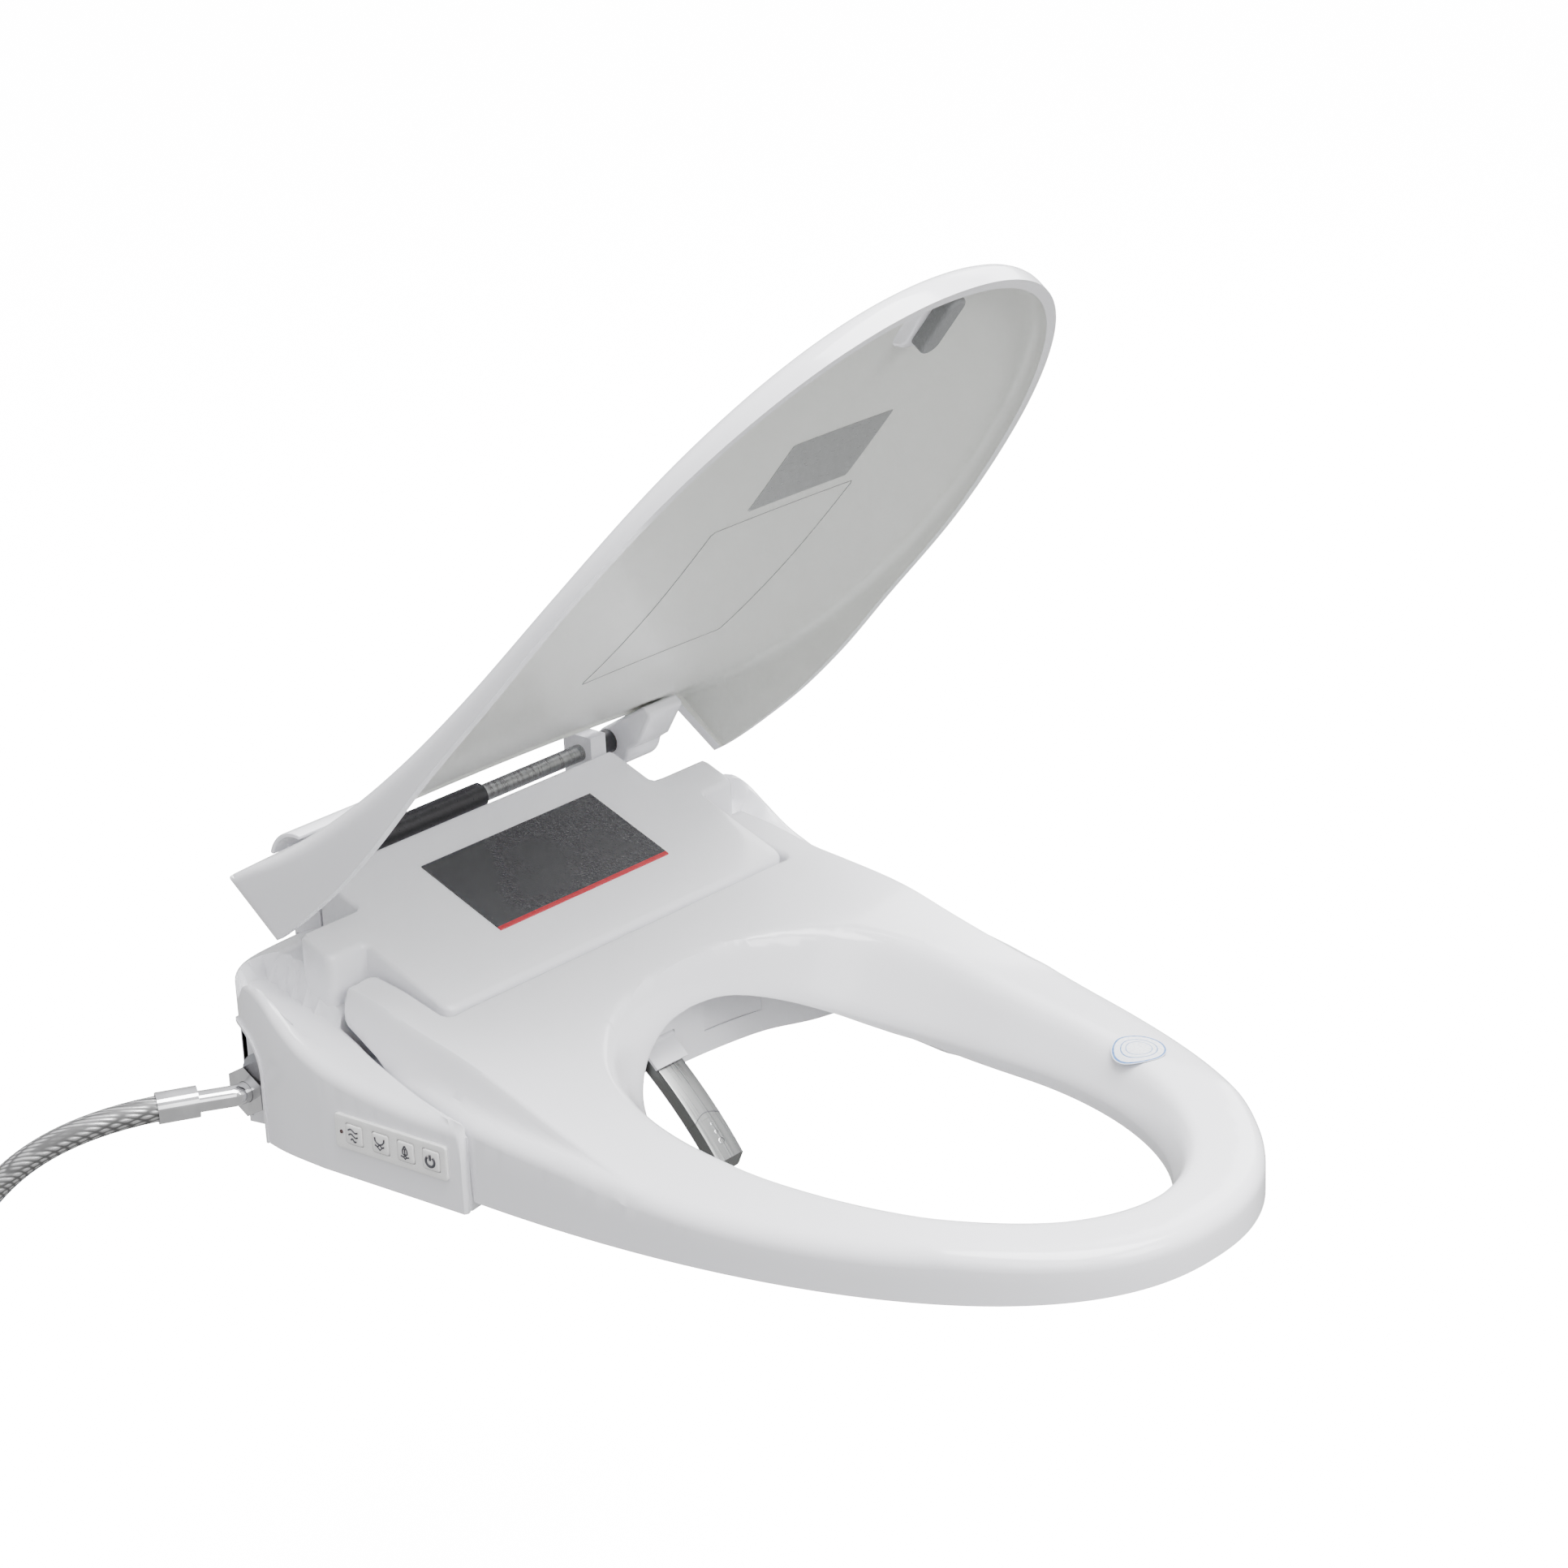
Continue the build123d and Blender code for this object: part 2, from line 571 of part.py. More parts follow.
# ---------------------------------------------------------------- lid hinge
hinge_y, hinge_z = LID_HINGE


def sleeve(y, z, r, bore, x0, x1):
    return rod_x(y, z, r, x0, x1) - rod_x(y, z, bore, x0 - 1, x1 + 1)


save("hinge_shaft", rod_x(hinge_y, hinge_z, SHAFT_R, LUGS[0][0] - 2, LUGS[1][1] + 2))
save("lid_damper", sleeve(hinge_y, hinge_z, 7.2, SHAFT_R, -100, 20))
save("shaft_collars", sleeve(hinge_y, hinge_z, 7.2, SHAFT_R, -117.5, -112),
     sleeve(hinge_y, hinge_z, 7.2, SHAFT_R, 112, 123.5))


# ---------------------------------------------------------------- wash nozzle
ARC_Y = NOZZLE_EXIT[0] + NOZZLE_R * sin(radians(NOZZLE_DIP))
ARC_Z = NOZZLE_EXIT[1] - NOZZLE_R * cos(radians(NOZZLE_DIP))
PINION_AT, PINION_R = 24.0, 8.0


def arc_bar(r0, r1, x0, x1, a0, a1):
    """A bar bent about the nozzle's arc centre, between two angles from the vertical."""
    ring = rod_x(ARC_Y, ARC_Z, r1, x0, x1) - rod_x(ARC_Y, ARC_Z, r0, x0 - 1, x1 + 1)
    far, mid = 2 * r1, (a0 + a1) / 2
    points = [(ARC_Y - far * sin(radians(a)), ARC_Z + far * cos(radians(a))) for a in (a0, mid, a1)]
    return ring & side_prism([(ARC_Y, ARC_Z), *points], x0 - 2, x1 + 2)


def on_arc(r, angle):
    return ARC_Y - r * sin(radians(angle)), ARC_Z + r * cos(radians(angle))


A_TIP = NOZZLE_DIP + degrees(NOZZLE_OUT / NOZZLE_R)
A_SEAM = A_TIP - degrees(NOZZLE_TIP / NOZZLE_R)
A_IN = NOZZLE_DIP - degrees(NOZZLE_IN / NOZZLE_R)
R0, R1 = NOZZLE_R - NOZZLE_T / 2, NOZZLE_R + NOZZLE_T / 2
NX0, NX1 = NOZZLE_X - NOZZLE_W / 2, NOZZLE_X + NOZZLE_W / 2


def spray_hole(x, angle, r):
    y, z = on_arc(R1, angle)
    return Plane(origin=(x, y, z), z_dir=(0, -sin(radians(angle)), cos(radians(angle)))) * Cylinder(r, 3)


def make_nozzle():
    wand = arc_bar(R0, R1, NX0, NX1, A_IN, A_SEAM)
    wand -= arc_bar(R0 + 2.5, R1 - 2.5, NX0 + 5, NX1 - 5, A_IN - 1, A_SEAM - 1)
    tip = arc_bar(R0 + 0.2, R1 - 0.2, NX0 + 0.2, NX1 - 0.2, A_SEAM + 0.05, A_TIP)
    seam = arc_bar(R0 + 1.5, R1 - 1.5, NX0 + 1.5, NX1 - 1.5, A_SEAM - 0.5, A_SEAM + 0.2)
    tip -= spray_hole(NOZZLE_X, A_SEAM + 3.3, 1.7)
    for x in (-5, 0, 5):
        tip -= spray_hole(NOZZLE_X + x, A_SEAM + 1.5, 0.8)
    return wand, tip + (seam - wand)


def make_guide():
    floor = arc_bar(R0 - 3.3, R0 - 0.3, NX0 - 2.8, NX1 + 2.8, 12, 36)
    sides = arc_bar(R0 - 3.3, R1 + 0.3, NX0 - 2.8, NX1 + 2.8, 12, 36)
    sides -= arc_bar(R0 - 4, R1 + 1, NX0 - 0.3, NX1 + 0.3, 11, 37)
    feet = block(NX0 - 2.8, NX1 + 2.8, -104, -92, TRAY_T, 30) + block(NX0, NX1, -34, -24, POCKET_Z + 2.5, 60)
    feet &= rod_x(ARC_Y, ARC_Z, R0 - 1, -60, 60)
    guide = floor + sides + feet
    return guide - rod_x(*PINION_YZ, PINION_R + 0.5, PINION_X0 - 0.5, PINION_X1 + 0.5)


PINION_YZ = on_arc(R0 - PINION_R - 0.3, PINION_AT)
PINION_X0, PINION_X1 = NOZZLE_X - 5, NOZZLE_X + 5


def make_pinion():
    wheel = rod_x(*PINION_YZ, PINION_R, PINION_X0, PINION_X1)
    for i in range(12):
        a = radians(30 * i)
        y, z = PINION_YZ[0] + 8.4 * cos(a), PINION_YZ[1] + 8.4 * sin(a)
        wheel -= rod_x(y, z, 1.1, PINION_X0 - 1, PINION_X1 + 1)
    return wheel - rod_x(*PINION_YZ, 2.0 + RUN, PINION_X0 - 1, PINION_X1 + 1)


def make_motor():
    can = rod_x(*PINION_YZ, 13, -62, -24) + rod_x(*PINION_YZ, 2.0, -24, PINION_X1 + 1)
    foot = block(-58, -28, PINION_YZ[0] - 12, PINION_YZ[0] + 12, TRAY_T, PINION_YZ[1])
    return can + foot


def make_shutter():
    bottom = SHUTTER_Z - SHUTTER_LEN
    flap = block(NX0 - 2.2, NX1 + 2.2, SHUTTER_Y - 0.8, SHUTTER_Y + 0.8, bottom, SHUTTER_Z)
    flap += rod_x(SHUTTER_Y, SHUTTER_Z, 2.0, NX0 - 2.2, NX1 + 2.2)
    flap -= rod_x(SHUTTER_Y, SHUTTER_Z, SHUTTER_PIN + RUN, NX0 - 4, NX1 + 4)
    return flap.rotate(Axis((0, SHUTTER_Y, SHUTTER_Z), (-1, 0, 0)), SHUTTER_REST)


wand, tip = make_nozzle()
save("nozzle_wand", wand)
save("nozzle_tip", tip)
save("nozzle_guide", make_guide())
save("nozzle_pinion", make_pinion())
save("nozzle_motor", make_motor())
save("nozzle_shutter", make_shutter())
save("shutter_pin", rod_x(SHUTTER_Y, SHUTTER_Z, SHUTTER_PIN, NOZZLE_X - 16, NOZZLE_X + 16))


# ---------------------------------------------------------------- warm-air dryer
FAN_X, FAN_Y, FAN_R, FAN_TOP = 108.0, -98.0, 25.0, 38.0


def make_dryer_flap():
    wall = behind_front(0, 0, 60) - behind_front(-2.5, -1, 61)
    flap = wall & block(DRYER_X0 + 0.4, DRYER_X1 - 0.4, -140, -110, DRYER_Z0 + 0.4, DRYER_PIN_Z + 1.2)
    return flap - dryer_rod(DRYER_PIN + RUN)


def make_fan_case():
    case = rod_z(FAN_X, FAN_Y, FAN_R, TRAY_T, FAN_TOP) - rod_z(FAN_X, FAN_Y, FAN_R - 2, 5, FAN_TOP - 2)
    case -= rod_z(FAN_X, FAN_Y, 12, FAN_TOP - 4, FAN_TOP + 1)
    case -= block(FAN_X - FAN_R - 2, FAN_X - 15, -106, -94, 16.5, 31.5)
    return case + rod_z(FAN_X, FAN_Y, 2, 4, 33)


def make_fan_wheel():
    wheel = rod_z(FAN_X, FAN_Y, 20, 7, 9) + rod_z(FAN_X, FAN_Y, 5, 7, 32)
    for i in range(12):
        blade = Pos(FAN_X, FAN_Y, 19) * Rot(0, 0, 30 * i) * Pos(17, 0, 0) * Rot(0, 0, 35) * Box(5, 1, 22)
        wheel += blade
    return wheel - rod_z(FAN_X, FAN_Y, 2 + RUN, 0, 40)


def make_duct():
    duct = block(36, 86, -116, -92, 14.5, 33.5) - block(38, 90, -120, -94, 16.5, 31.5)
    duct += block(68, 86, -116, -106, 14.5, 33.5)
    return duct - rod_z(FAN_X, FAN_Y, FAN_R, 0, 60)


save("dryer_flap", make_dryer_flap())
save("dryer_flap_pin", dryer_pin())
save("dryer_fan_case", make_fan_case())
save("dryer_fan_wheel", make_fan_wheel())
save("dryer_duct", make_duct())


# ---------------------------------------------------------------- inside the housing
def make_tank():
    tank = block(20, 104, -68, -22, 20, 58)
    tank = fillet(tank.edges(), 5)
    for x, y in [(30, -42), (90, -42), (30, -28), (90, -28)]:
        tank += rod_z(x, y, 3, POCKET_Z + 2.5, 24)
    return tank


def make_main_board():
    board = block(-106, -24, -70, 8, 68, 69.6)
    for x, y in [(-86, -40), (-30, -40), (-86, 2), (-30, 2)]:
        board += rod_z(x, y, 3, POCKET_Z + 2.5, 68.5)
    for x, y, size in [(-90, -55, 14), (-60, -20, 20), (-45, -52, 12)]:
        board += block(x - size / 2, x + size / 2, y - size / 2, y + size / 2, 69, 74)
    return board


save("water_tank", make_tank())
save("main_board", make_main_board())
save("air_pump", rod_z(150, -4, 17, TRAY_T, 40) + rod_z(150, -4, 6, 39, 48))
save("solenoid_valve", block(-150, -122, -12, 17, 12, 40) + rod_z(-136, 2, 9, 39, 58)
     + block(-146, -126, -8, 12, TRAY_T, 13))
save("seat_damper", rod_x(seat_y, seat_z, 7.5, 60, 122)
     + block(70, 76, seat_y - 5, seat_y + 5, 55, seat_z)
     + block(112, 122, seat_y - 5, seat_y + 5, 55, seat_z))


# ---------------------------------------------------------------- water inlet and hose
HOSE = [(-224, 23.7, 25), (-268, 51, 24), (-320, 81, -13),
        (-345, 95, -90), (-352, 98, -190), (-345, 95, -330)]
ELBOW = [(-184, INLET_Y, INLET_Z), (-193.9, INLET_Y, INLET_Z), (-213.8, 17.4, 24.9)]


def unit(a, b):
    d = [q - p for p, q in zip(a, b)]
    length = sum(v * v for v in d) ** 0.5
    return [v / length for v in d]


def along(p, d, r, r_in, length):
    """A tube from point p along direction d."""
    plane = Plane(origin=p, z_dir=d)
    tube = extrude(plane * Circle(r), amount=length, dir=d)
    return tube - extrude(plane * Circle(r_in), amount=length, dir=d) if r_in else tube


def corner_radii(points):
    radii = []
    for a, b, c in zip(points, points[1:], points[2:]):
        d0, d1 = Vector(*b) - Vector(*a), Vector(*c) - Vector(*b)
        turn = radians(d0.get_angle(d1))
        radii.append(0.45 * min(d0.length, d1.length) / tan(turn / 2))
    return radii


def make_hose():
    radii = corner_radii(HOSE)
    print("hose corner radii", [round(r) for r in radii])
    path = FilletPolyline(*HOSE, radius=radii)
    start = Plane(origin=path @ 0, z_dir=path % 0)
    tube = sweep(start * Circle(HOSE_D / 2), path=path)
    section = 3.14159 * (HOSE_D / 2) ** 2
    print("hose length", path.length, "volume ratio", round(tube.volume / (section * path.length), 4))
    return tube


def make_hex(p, d, flats, bore, length):
    plane = Plane(origin=p, z_dir=d)
    prism = extrude(plane * RegularPolygon(flats / 2, 6, major_radius=False), amount=length, dir=d)
    return prism - extrude(plane * Circle(bore), amount=length, dir=d) if bore else prism


start_dir, end_dir = unit(HOSE[0], HOSE[1]), unit(HOSE[-2], HOSE[-1])
ferrule_at = [p - 14 * d for p, d in zip(HOSE[0], start_dir)]
far_at = [p - 12 * d for p, d in zip(HOSE[-1], end_dir)]
elbow_path = FilletPolyline(*ELBOW, radius=12)
save("inlet_flange", rod_x(INLET_Y, INLET_Z, 17, -176, -172) + rod_x(INLET_Y, INLET_Z, 10.5, -172, -150))
save("inlet_nut", make_hex((-176, INLET_Y, INLET_Z), (-1, 0, 0), 25, 6.0, 13))
save("inlet_elbow", sweep(Plane(origin=elbow_path @ 0, z_dir=elbow_path % 0) * Circle(5.8), path=elbow_path)
     + rod_x(INLET_Y, INLET_Z, 5.8, -188.5, -176))
save("hose_ferrules", along(ferrule_at, start_dir, 8.6, HOSE_D / 2, 14 + 8)
     + along(ferrule_at, start_dir, 8.6, 5.9, 7.5), along(far_at, end_dir, 8.6, HOSE_D / 2, 12))
save("inlet_hose", make_hose())
save("hose_end_nut", make_hex(HOSE[-1], end_dir, 26, 9.0, 16) + along(HOSE[-1], end_dir, 9.5, 0, 4))
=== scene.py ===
import json
from math import cos, degrees, pi, radians, sin, sqrt

import bmesh
import bpy
import numpy as np
from mathutils import Matrix, Vector
from mathutils.geometry import delaunay_2d_cdt


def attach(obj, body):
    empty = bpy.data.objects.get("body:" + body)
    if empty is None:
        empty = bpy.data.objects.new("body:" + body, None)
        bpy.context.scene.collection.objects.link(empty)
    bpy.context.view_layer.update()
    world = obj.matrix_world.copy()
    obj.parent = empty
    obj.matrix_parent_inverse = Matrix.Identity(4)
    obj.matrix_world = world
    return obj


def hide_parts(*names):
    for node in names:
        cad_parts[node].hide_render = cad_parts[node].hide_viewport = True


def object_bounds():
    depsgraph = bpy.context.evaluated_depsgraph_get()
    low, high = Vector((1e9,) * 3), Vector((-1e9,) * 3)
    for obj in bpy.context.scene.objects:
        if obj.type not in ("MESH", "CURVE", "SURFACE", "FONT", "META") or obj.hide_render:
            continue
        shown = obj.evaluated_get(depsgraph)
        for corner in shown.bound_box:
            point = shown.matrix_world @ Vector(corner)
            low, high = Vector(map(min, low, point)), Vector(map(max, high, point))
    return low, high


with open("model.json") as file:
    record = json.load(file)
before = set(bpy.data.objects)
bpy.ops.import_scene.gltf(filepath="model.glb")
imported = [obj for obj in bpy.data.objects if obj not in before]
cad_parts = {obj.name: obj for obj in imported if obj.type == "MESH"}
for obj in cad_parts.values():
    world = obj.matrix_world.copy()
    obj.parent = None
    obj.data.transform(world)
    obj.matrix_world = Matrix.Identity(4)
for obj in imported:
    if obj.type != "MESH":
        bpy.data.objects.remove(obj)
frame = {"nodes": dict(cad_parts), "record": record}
cad_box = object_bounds()

MM = 0.001


def put(name, data):
    """A new object in the scene."""
    obj = bpy.data.objects.new(name, data)
    bpy.context.scene.collection.objects.link(obj)
    return obj


def smooth_mesh(name, verts, faces):
    mesh = bpy.data.meshes.new(name)
    mesh.from_pydata(verts, [], faces)
    mesh.polygons.foreach_set("use_smooth", [True] * len(mesh.polygons))
    return mesh


def face_outwards(mesh):
    work = bmesh.new()
    work.from_mesh(mesh)
    bmesh.ops.recalc_face_normals(work, faces=work.faces)
    work.to_mesh(mesh)
    work.free()


# ---------------------------------------------------------------- camera
AZIMUTH, ELEVATION, ROLL = -46.97, 21.76, -2.66
DISTANCE, LENS, SENSOR = 2.25528, 97.47, 36
SHIFT_X, SHIFT_Y, CLIP_END = 0.0173, 0.0108, 50
TARGET = Vector((0.04344, -0.15803, 0.15384))


def make_camera():
    a, e, r = radians(AZIMUTH), radians(ELEVATION), radians(ROLL)
    back = Vector((sin(a) * cos(e), -cos(a) * cos(e), sin(e)))
    right = Vector((cos(a), sin(a), 0))
    up = back.cross(right)
    right, up = right * cos(r) + up * sin(r), up * cos(r) - right * sin(r)
    place = TARGET + back * DISTANCE
    cam = bpy.data.cameras.new("camera")
    cam.lens, cam.sensor_width = LENS, SENSOR
    cam.shift_x, cam.shift_y = SHIFT_X, SHIFT_Y
    cam.clip_end = CLIP_END
    obj = put("camera", cam)
    rows = [[right[i], up[i], back[i], place[i]] for i in range(3)] + [[0, 0, 0, 1]]
    obj.matrix_world = Matrix(rows)
    bpy.context.scene.camera = obj


make_camera()


# ---------------------------------------------------------------- materials
def material(name):
    mat = bpy.data.materials.new(name)
    mat.use_nodes = True
    nodes = mat.node_tree.nodes
    return mat, nodes, mat.node_tree.links, nodes["Principled BSDF"]


def add(nodes, kind, **inputs):
    node = nodes.new(kind)
    for key, value in inputs.items():
        node.inputs[key.replace("_", " ")].default_value = value
    return node


def coords(nodes, links, scale):
    tex = nodes.new("ShaderNodeTexCoord")
    mapping = nodes.new("ShaderNodeMapping")
    mapping.inputs["Scale"].default_value = scale
    links.new(tex.outputs["Object"], mapping.inputs["Vector"])
    return mapping.outputs["Vector"]


def ramp(nodes, links, source, low, high, p0=0.3, p1=0.7):
    node = nodes.new("ShaderNodeValToRGB")
    node.color_ramp.elements[0].position, node.color_ramp.elements[1].position = p0, p1
    node.color_ramp.elements[0].color, node.color_ramp.elements[1].color = low, high
    links.new(source, node.inputs["Fac"])
    return node.outputs["Color"]


def shade(color, factor):
    return (*[min(1, c * factor) for c in color[:3]], 1)


def bump(nodes, links, bsdf, height, strength, distance=0.001):
    node = add(nodes, "ShaderNodeBump", Strength=strength, Distance=distance)
    links.new(height, node.inputs["Height"])
    links.new(node.outputs["Normal"], bsdf.inputs["Normal"])


def grey(value):
    return (value, value, value, 1)


def plastic(name, color, rough=0.2, grain=900, vary=0.03, depth=0.04, coat=0.0, orange=0.0):
    """Moulded plastic: slow tone change, a fine grain in roughness, and a faint surface ripple."""
    mat, nodes, links, bsdf = material(name)
    slow = add(nodes, "ShaderNodeTexNoise", Scale=7, Detail=3)
    links.new(coords(nodes, links, (1, 1, 1)), slow.inputs["Vector"])
    links.new(ramp(nodes, links, slow.outputs["Fac"], shade(color, 1 - vary), shade(color, 1 + vary)),
              bsdf.inputs["Base Color"])
    fine = add(nodes, "ShaderNodeTexNoise", Scale=grain, Detail=2)
    links.new(coords(nodes, links, (1, 1, 1)), fine.inputs["Vector"])
    links.new(ramp(nodes, links, fine.outputs["Fac"], grey(rough * 0.85), grey(min(1, rough * 1.2))),
              bsdf.inputs["Roughness"])
    ripple = add(nodes, "ShaderNodeTexNoise", Scale=orange or grain, Detail=1)
    links.new(coords(nodes, links, (1, 1, 1)), ripple.inputs["Vector"])
    bump(nodes, links, bsdf, ripple.outputs["Fac"], depth)
    bsdf.inputs["Coat Weight"].default_value = coat
    bsdf.inputs["Coat Roughness"].default_value = 0.06
    bsdf.inputs["IOR"].default_value = 1.49
    return mat


def metal(name, color, rough, stretch=(1, 1, 1), grain=400, depth=0.05):
    """Metal with scratches drawn out along one direction."""
    mat, nodes, links, bsdf = material(name)
    lines = add(nodes, "ShaderNodeTexNoise", Scale=grain, Detail=4)
    links.new(coords(nodes, links, stretch), lines.inputs["Vector"])
    links.new(ramp(nodes, links, lines.outputs["Fac"], shade(color, 0.85), shade(color, 1.1)),
              bsdf.inputs["Base Color"])
    links.new(ramp(nodes, links, lines.outputs["Fac"], grey(rough * 0.7), grey(rough * 1.3)),
              bsdf.inputs["Roughness"])
    bump(nodes, links, bsdf, lines.outputs["Fac"], depth, 0.0004)
    bsdf.inputs["Metallic"].default_value = 1.0
    return mat


STICKER_AT, STICKER_R = (114.0, -357.0), 14.5
PALE, BLUE = (0.74, 0.76, 0.80, 1), (0.09, 0.20, 0.45, 1)
RINGS = ((0.46, BLUE), (0.49, PALE), (0.64, BLUE), (0.68, PALE), (0.9, BLUE), (0.975, PALE))


def ringed(name):
    """A pale disc printed with blue rings."""
    mat, nodes, links, bsdf = material(name)
    tex = nodes.new("ShaderNodeTexCoord")
    mapping = nodes.new("ShaderNodeMapping")
    mapping.inputs["Location"].default_value = (-STICKER_AT[0] / STICKER_R, -STICKER_AT[1] / STICKER_R, 0)
    mapping.inputs["Scale"].default_value = (1 / (STICKER_R * MM), 1 / (STICKER_R * MM), 0)
    links.new(tex.outputs["Object"], mapping.inputs["Vector"])
    length = nodes.new("ShaderNodeVectorMath")
    length.operation = "LENGTH"
    links.new(mapping.outputs["Vector"], length.inputs[0])
    rings = nodes.new("ShaderNodeValToRGB")
    rings.color_ramp.interpolation = "CONSTANT"
    rings.color_ramp.elements[1].position, rings.color_ramp.elements[1].color = RINGS[0]
    rings.color_ramp.elements[0].color = PALE
    for place, color in RINGS[1:]:
        rings.color_ramp.elements.new(place).color = color
    links.new(length.outputs["Value"], rings.inputs["Fac"])
    links.new(rings.outputs["Color"], bsdf.inputs["Base Color"])
    fine = add(nodes, "ShaderNodeTexNoise", Scale=600)
    links.new(tex.outputs["Object"], fine.inputs["Vector"])
    links.new(ramp(nodes, links, fine.outputs["Fac"], grey(0.22), grey(0.34)), bsdf.inputs["Roughness"])
    return mat


def woven(name):
    """Fine steel wires braided on two slants."""
    mat, nodes, links, bsdf = material(name)
    waves = []
    for slant in ((1, 1, 1), (-1, -1, 1)):
        wave = add(nodes, "ShaderNodeTexWave", Scale=170, Distortion=0.6)
        wave.bands_direction = "DIAGONAL"
        links.new(coords(nodes, links, slant), wave.inputs["Vector"])
        waves.append(wave.outputs["Fac"])
    weave = nodes.new("ShaderNodeMath")
    weave.operation = "MULTIPLY"
    links.new(waves[0], weave.inputs[0])
    links.new(waves[1], weave.inputs[1])
    links.new(ramp(nodes, links, weave.outputs["Value"], grey(0.12), grey(0.52), 0.0, 0.55),
              bsdf.inputs["Base Color"])
    links.new(ramp(nodes, links, weave.outputs["Value"], grey(0.5), grey(0.25)), bsdf.inputs["Roughness"])
    bump(nodes, links, bsdf, weave.outputs["Value"], 0.6, 0.0006)
    bsdf.inputs["Metallic"].default_value = 0.85
    return mat


# plastic: colour, roughness, grain scale, tone change, bump, coat, ripple scale
# metal: colour, roughness, scratch stretch, scratch scale, bump
M = {
    "gloss_white": plastic("gloss_white", (0.80, 0.80, 0.83), 0.16, 1200, 0.012, 0.02, 0.35, 60),
    "white_plastic": plastic("white_plastic", (0.74, 0.74, 0.77), 0.33, 1500, 0.02, 0.06),
    "panel_white": plastic("panel_white", (0.80, 0.80, 0.79), 0.24, 1500, 0.02, 0.04, 0.15),
    "grey_plastic": plastic("grey_plastic", (0.30, 0.31, 0.33), 0.42, 900, 0.05, 0.15),
    "black_plastic": plastic("black_plastic", (0.018, 0.018, 0.02), 0.32, 900, 0.1, 0.12),
    "grey_rubber": plastic("grey_rubber", (0.20, 0.205, 0.21), 0.62, 1400, 0.06, 0.3),
    "foil": metal("foil", (0.6, 0.6, 0.61), 0.35, (1, 1, 1), 120, 0.2),
    "silver_foil": metal("silver_foil", (0.40, 0.41, 0.41), 0.38, (1, 6, 1), 300, 0.05),
    "sticker": ringed("sticker"),
    # the label's own black, lifted a little as painted reflection of the lid above it
    "label_black": plastic("label_black", (0.035, 0.035, 0.04), 0.16, 800, 0.1, 0.02, 0.5),
    "label_red": plastic("label_red", (0.42, 0.02, 0.03), 0.2, 800, 0.05, 0.02, 0.3),
    # the lid's inner face: a greyer copy of the gloss white, painted shade of the underside that faces down
    "lid_inside_painted_shade": plastic("lid_inside_painted_shade", (0.63, 0.64, 0.61), 0.34, 1200, 0.012, 0.02, 0.12, 60),
    "print_dark": plastic("print_dark", (0.05, 0.05, 0.06), 0.4, 800, 0.05, 0.02),
    "print_grey": plastic("print_grey", (0.22, 0.22, 0.22), 0.4, 800, 0.05, 0.02),
    "lens": plastic("lens", (0.05, 0.02, 0.02), 0.15, 800, 0.05, 0.02, 0.5),
    "circuit_board": plastic("circuit_board", (0.02, 0.13, 0.05), 0.3, 300, 0.2, 0.2),
    "steel": metal("steel", (0.31, 0.315, 0.31), 0.32, (60, 1, 1), 14, 0.01),
    # a darker copy of the steel; the nozzle bar's side and lower faces get it as painted shade
    "steel_dark": metal("steel_dark", (0.16, 0.163, 0.16), 0.34, (40, 1, 1), 30, 0.015),
    "chrome": metal("chrome", (0.66, 0.66, 0.67), 0.07, (1, 1, 1), 60, 0.01),
    "motor_metal": metal("motor_metal", (0.42, 0.43, 0.45), 0.4, (1, 1, 1), 300, 0.1),
    "braid": woven("braid"),
}
for entry in frame["record"]["subparts"]:
    obj = bpy.data.objects.get(entry["node"]) or frame["nodes"][entry["node"]]
    for slot in obj.material_slots:
        slot.material = M[entry["material_slot"]]


# ---------------------------------------------------------------- smooth moulded shells
def chain(points):
    """A smooth curve's value at any y, through points (y, value, ...)."""
    data = np.array(sorted(points), dtype=float)
    ys, vals = data[:, 0], data[:, 1:]
    slopes = np.gradient(vals, ys, axis=0)

    def value(y, column=0):
        y = np.clip(y, ys[0], ys[-1])
        i = np.clip(np.searchsorted(ys, y) - 1, 0, len(ys) - 2)
        h = ys[i + 1] - ys[i]
        t = (y - ys[i]) / h
        v, m = vals[:, column], slopes[:, column]
        return ((2 * t ** 3 - 3 * t ** 2 + 1) * v[i] + (t ** 3 - 2 * t ** 2 + t) * h * m[i]
                + (3 * t ** 2 - 2 * t ** 3) * v[i + 1] + (t ** 3 - t ** 2) * h * m[i + 1])
    return value


def smin(a, b, k):
    """The smaller of two heights, blended over k."""
    h = np.clip(0.5 + 0.5 * (b - a) / k, 0, 1)
    return b * (1 - h) + a * h - k * h * (1 - h)


def resample(points, step):
    """A closed polyline walked at equal steps."""
    p = np.array(points + points[:1], dtype=float)
    seg = np.hypot(*np.diff(p, axis=0).T)
    s = np.concatenate([[0], np.cumsum(seg)])
    n = max(8, int(s[-1] / step))
    at = np.linspace(0, s[-1], n, endpoint=False)
    return np.stack([np.interp(at, s, p[:, 0]), np.interp(at, s, p[:, 1])], axis=1)


def round_corners(points, radii, n=6):
    """A closed polygon whose corners with a radius become arcs; points run anticlockwise or clockwise."""
    out = []
    count = len(points)
    for i, (p, r) in enumerate(zip(points, radii)):
        if not r:
            out.append(tuple(p))
            continue
        p = Vector(p)
        a, b = Vector(points[i - 1]) - p, Vector(points[(i + 1) % count]) - p
        half = a.angle(b) / 2
        cut = r / np.tan(half)
        p0, p1 = p + a.normalized() * cut, p + b.normalized() * cut
        for k in range(n + 1):
            t = k / n
            q = (1 - t) ** 2 * p0 + 2 * t * (1 - t) * p + t * t * p1
            out.append((q.x, q.y))
    return out


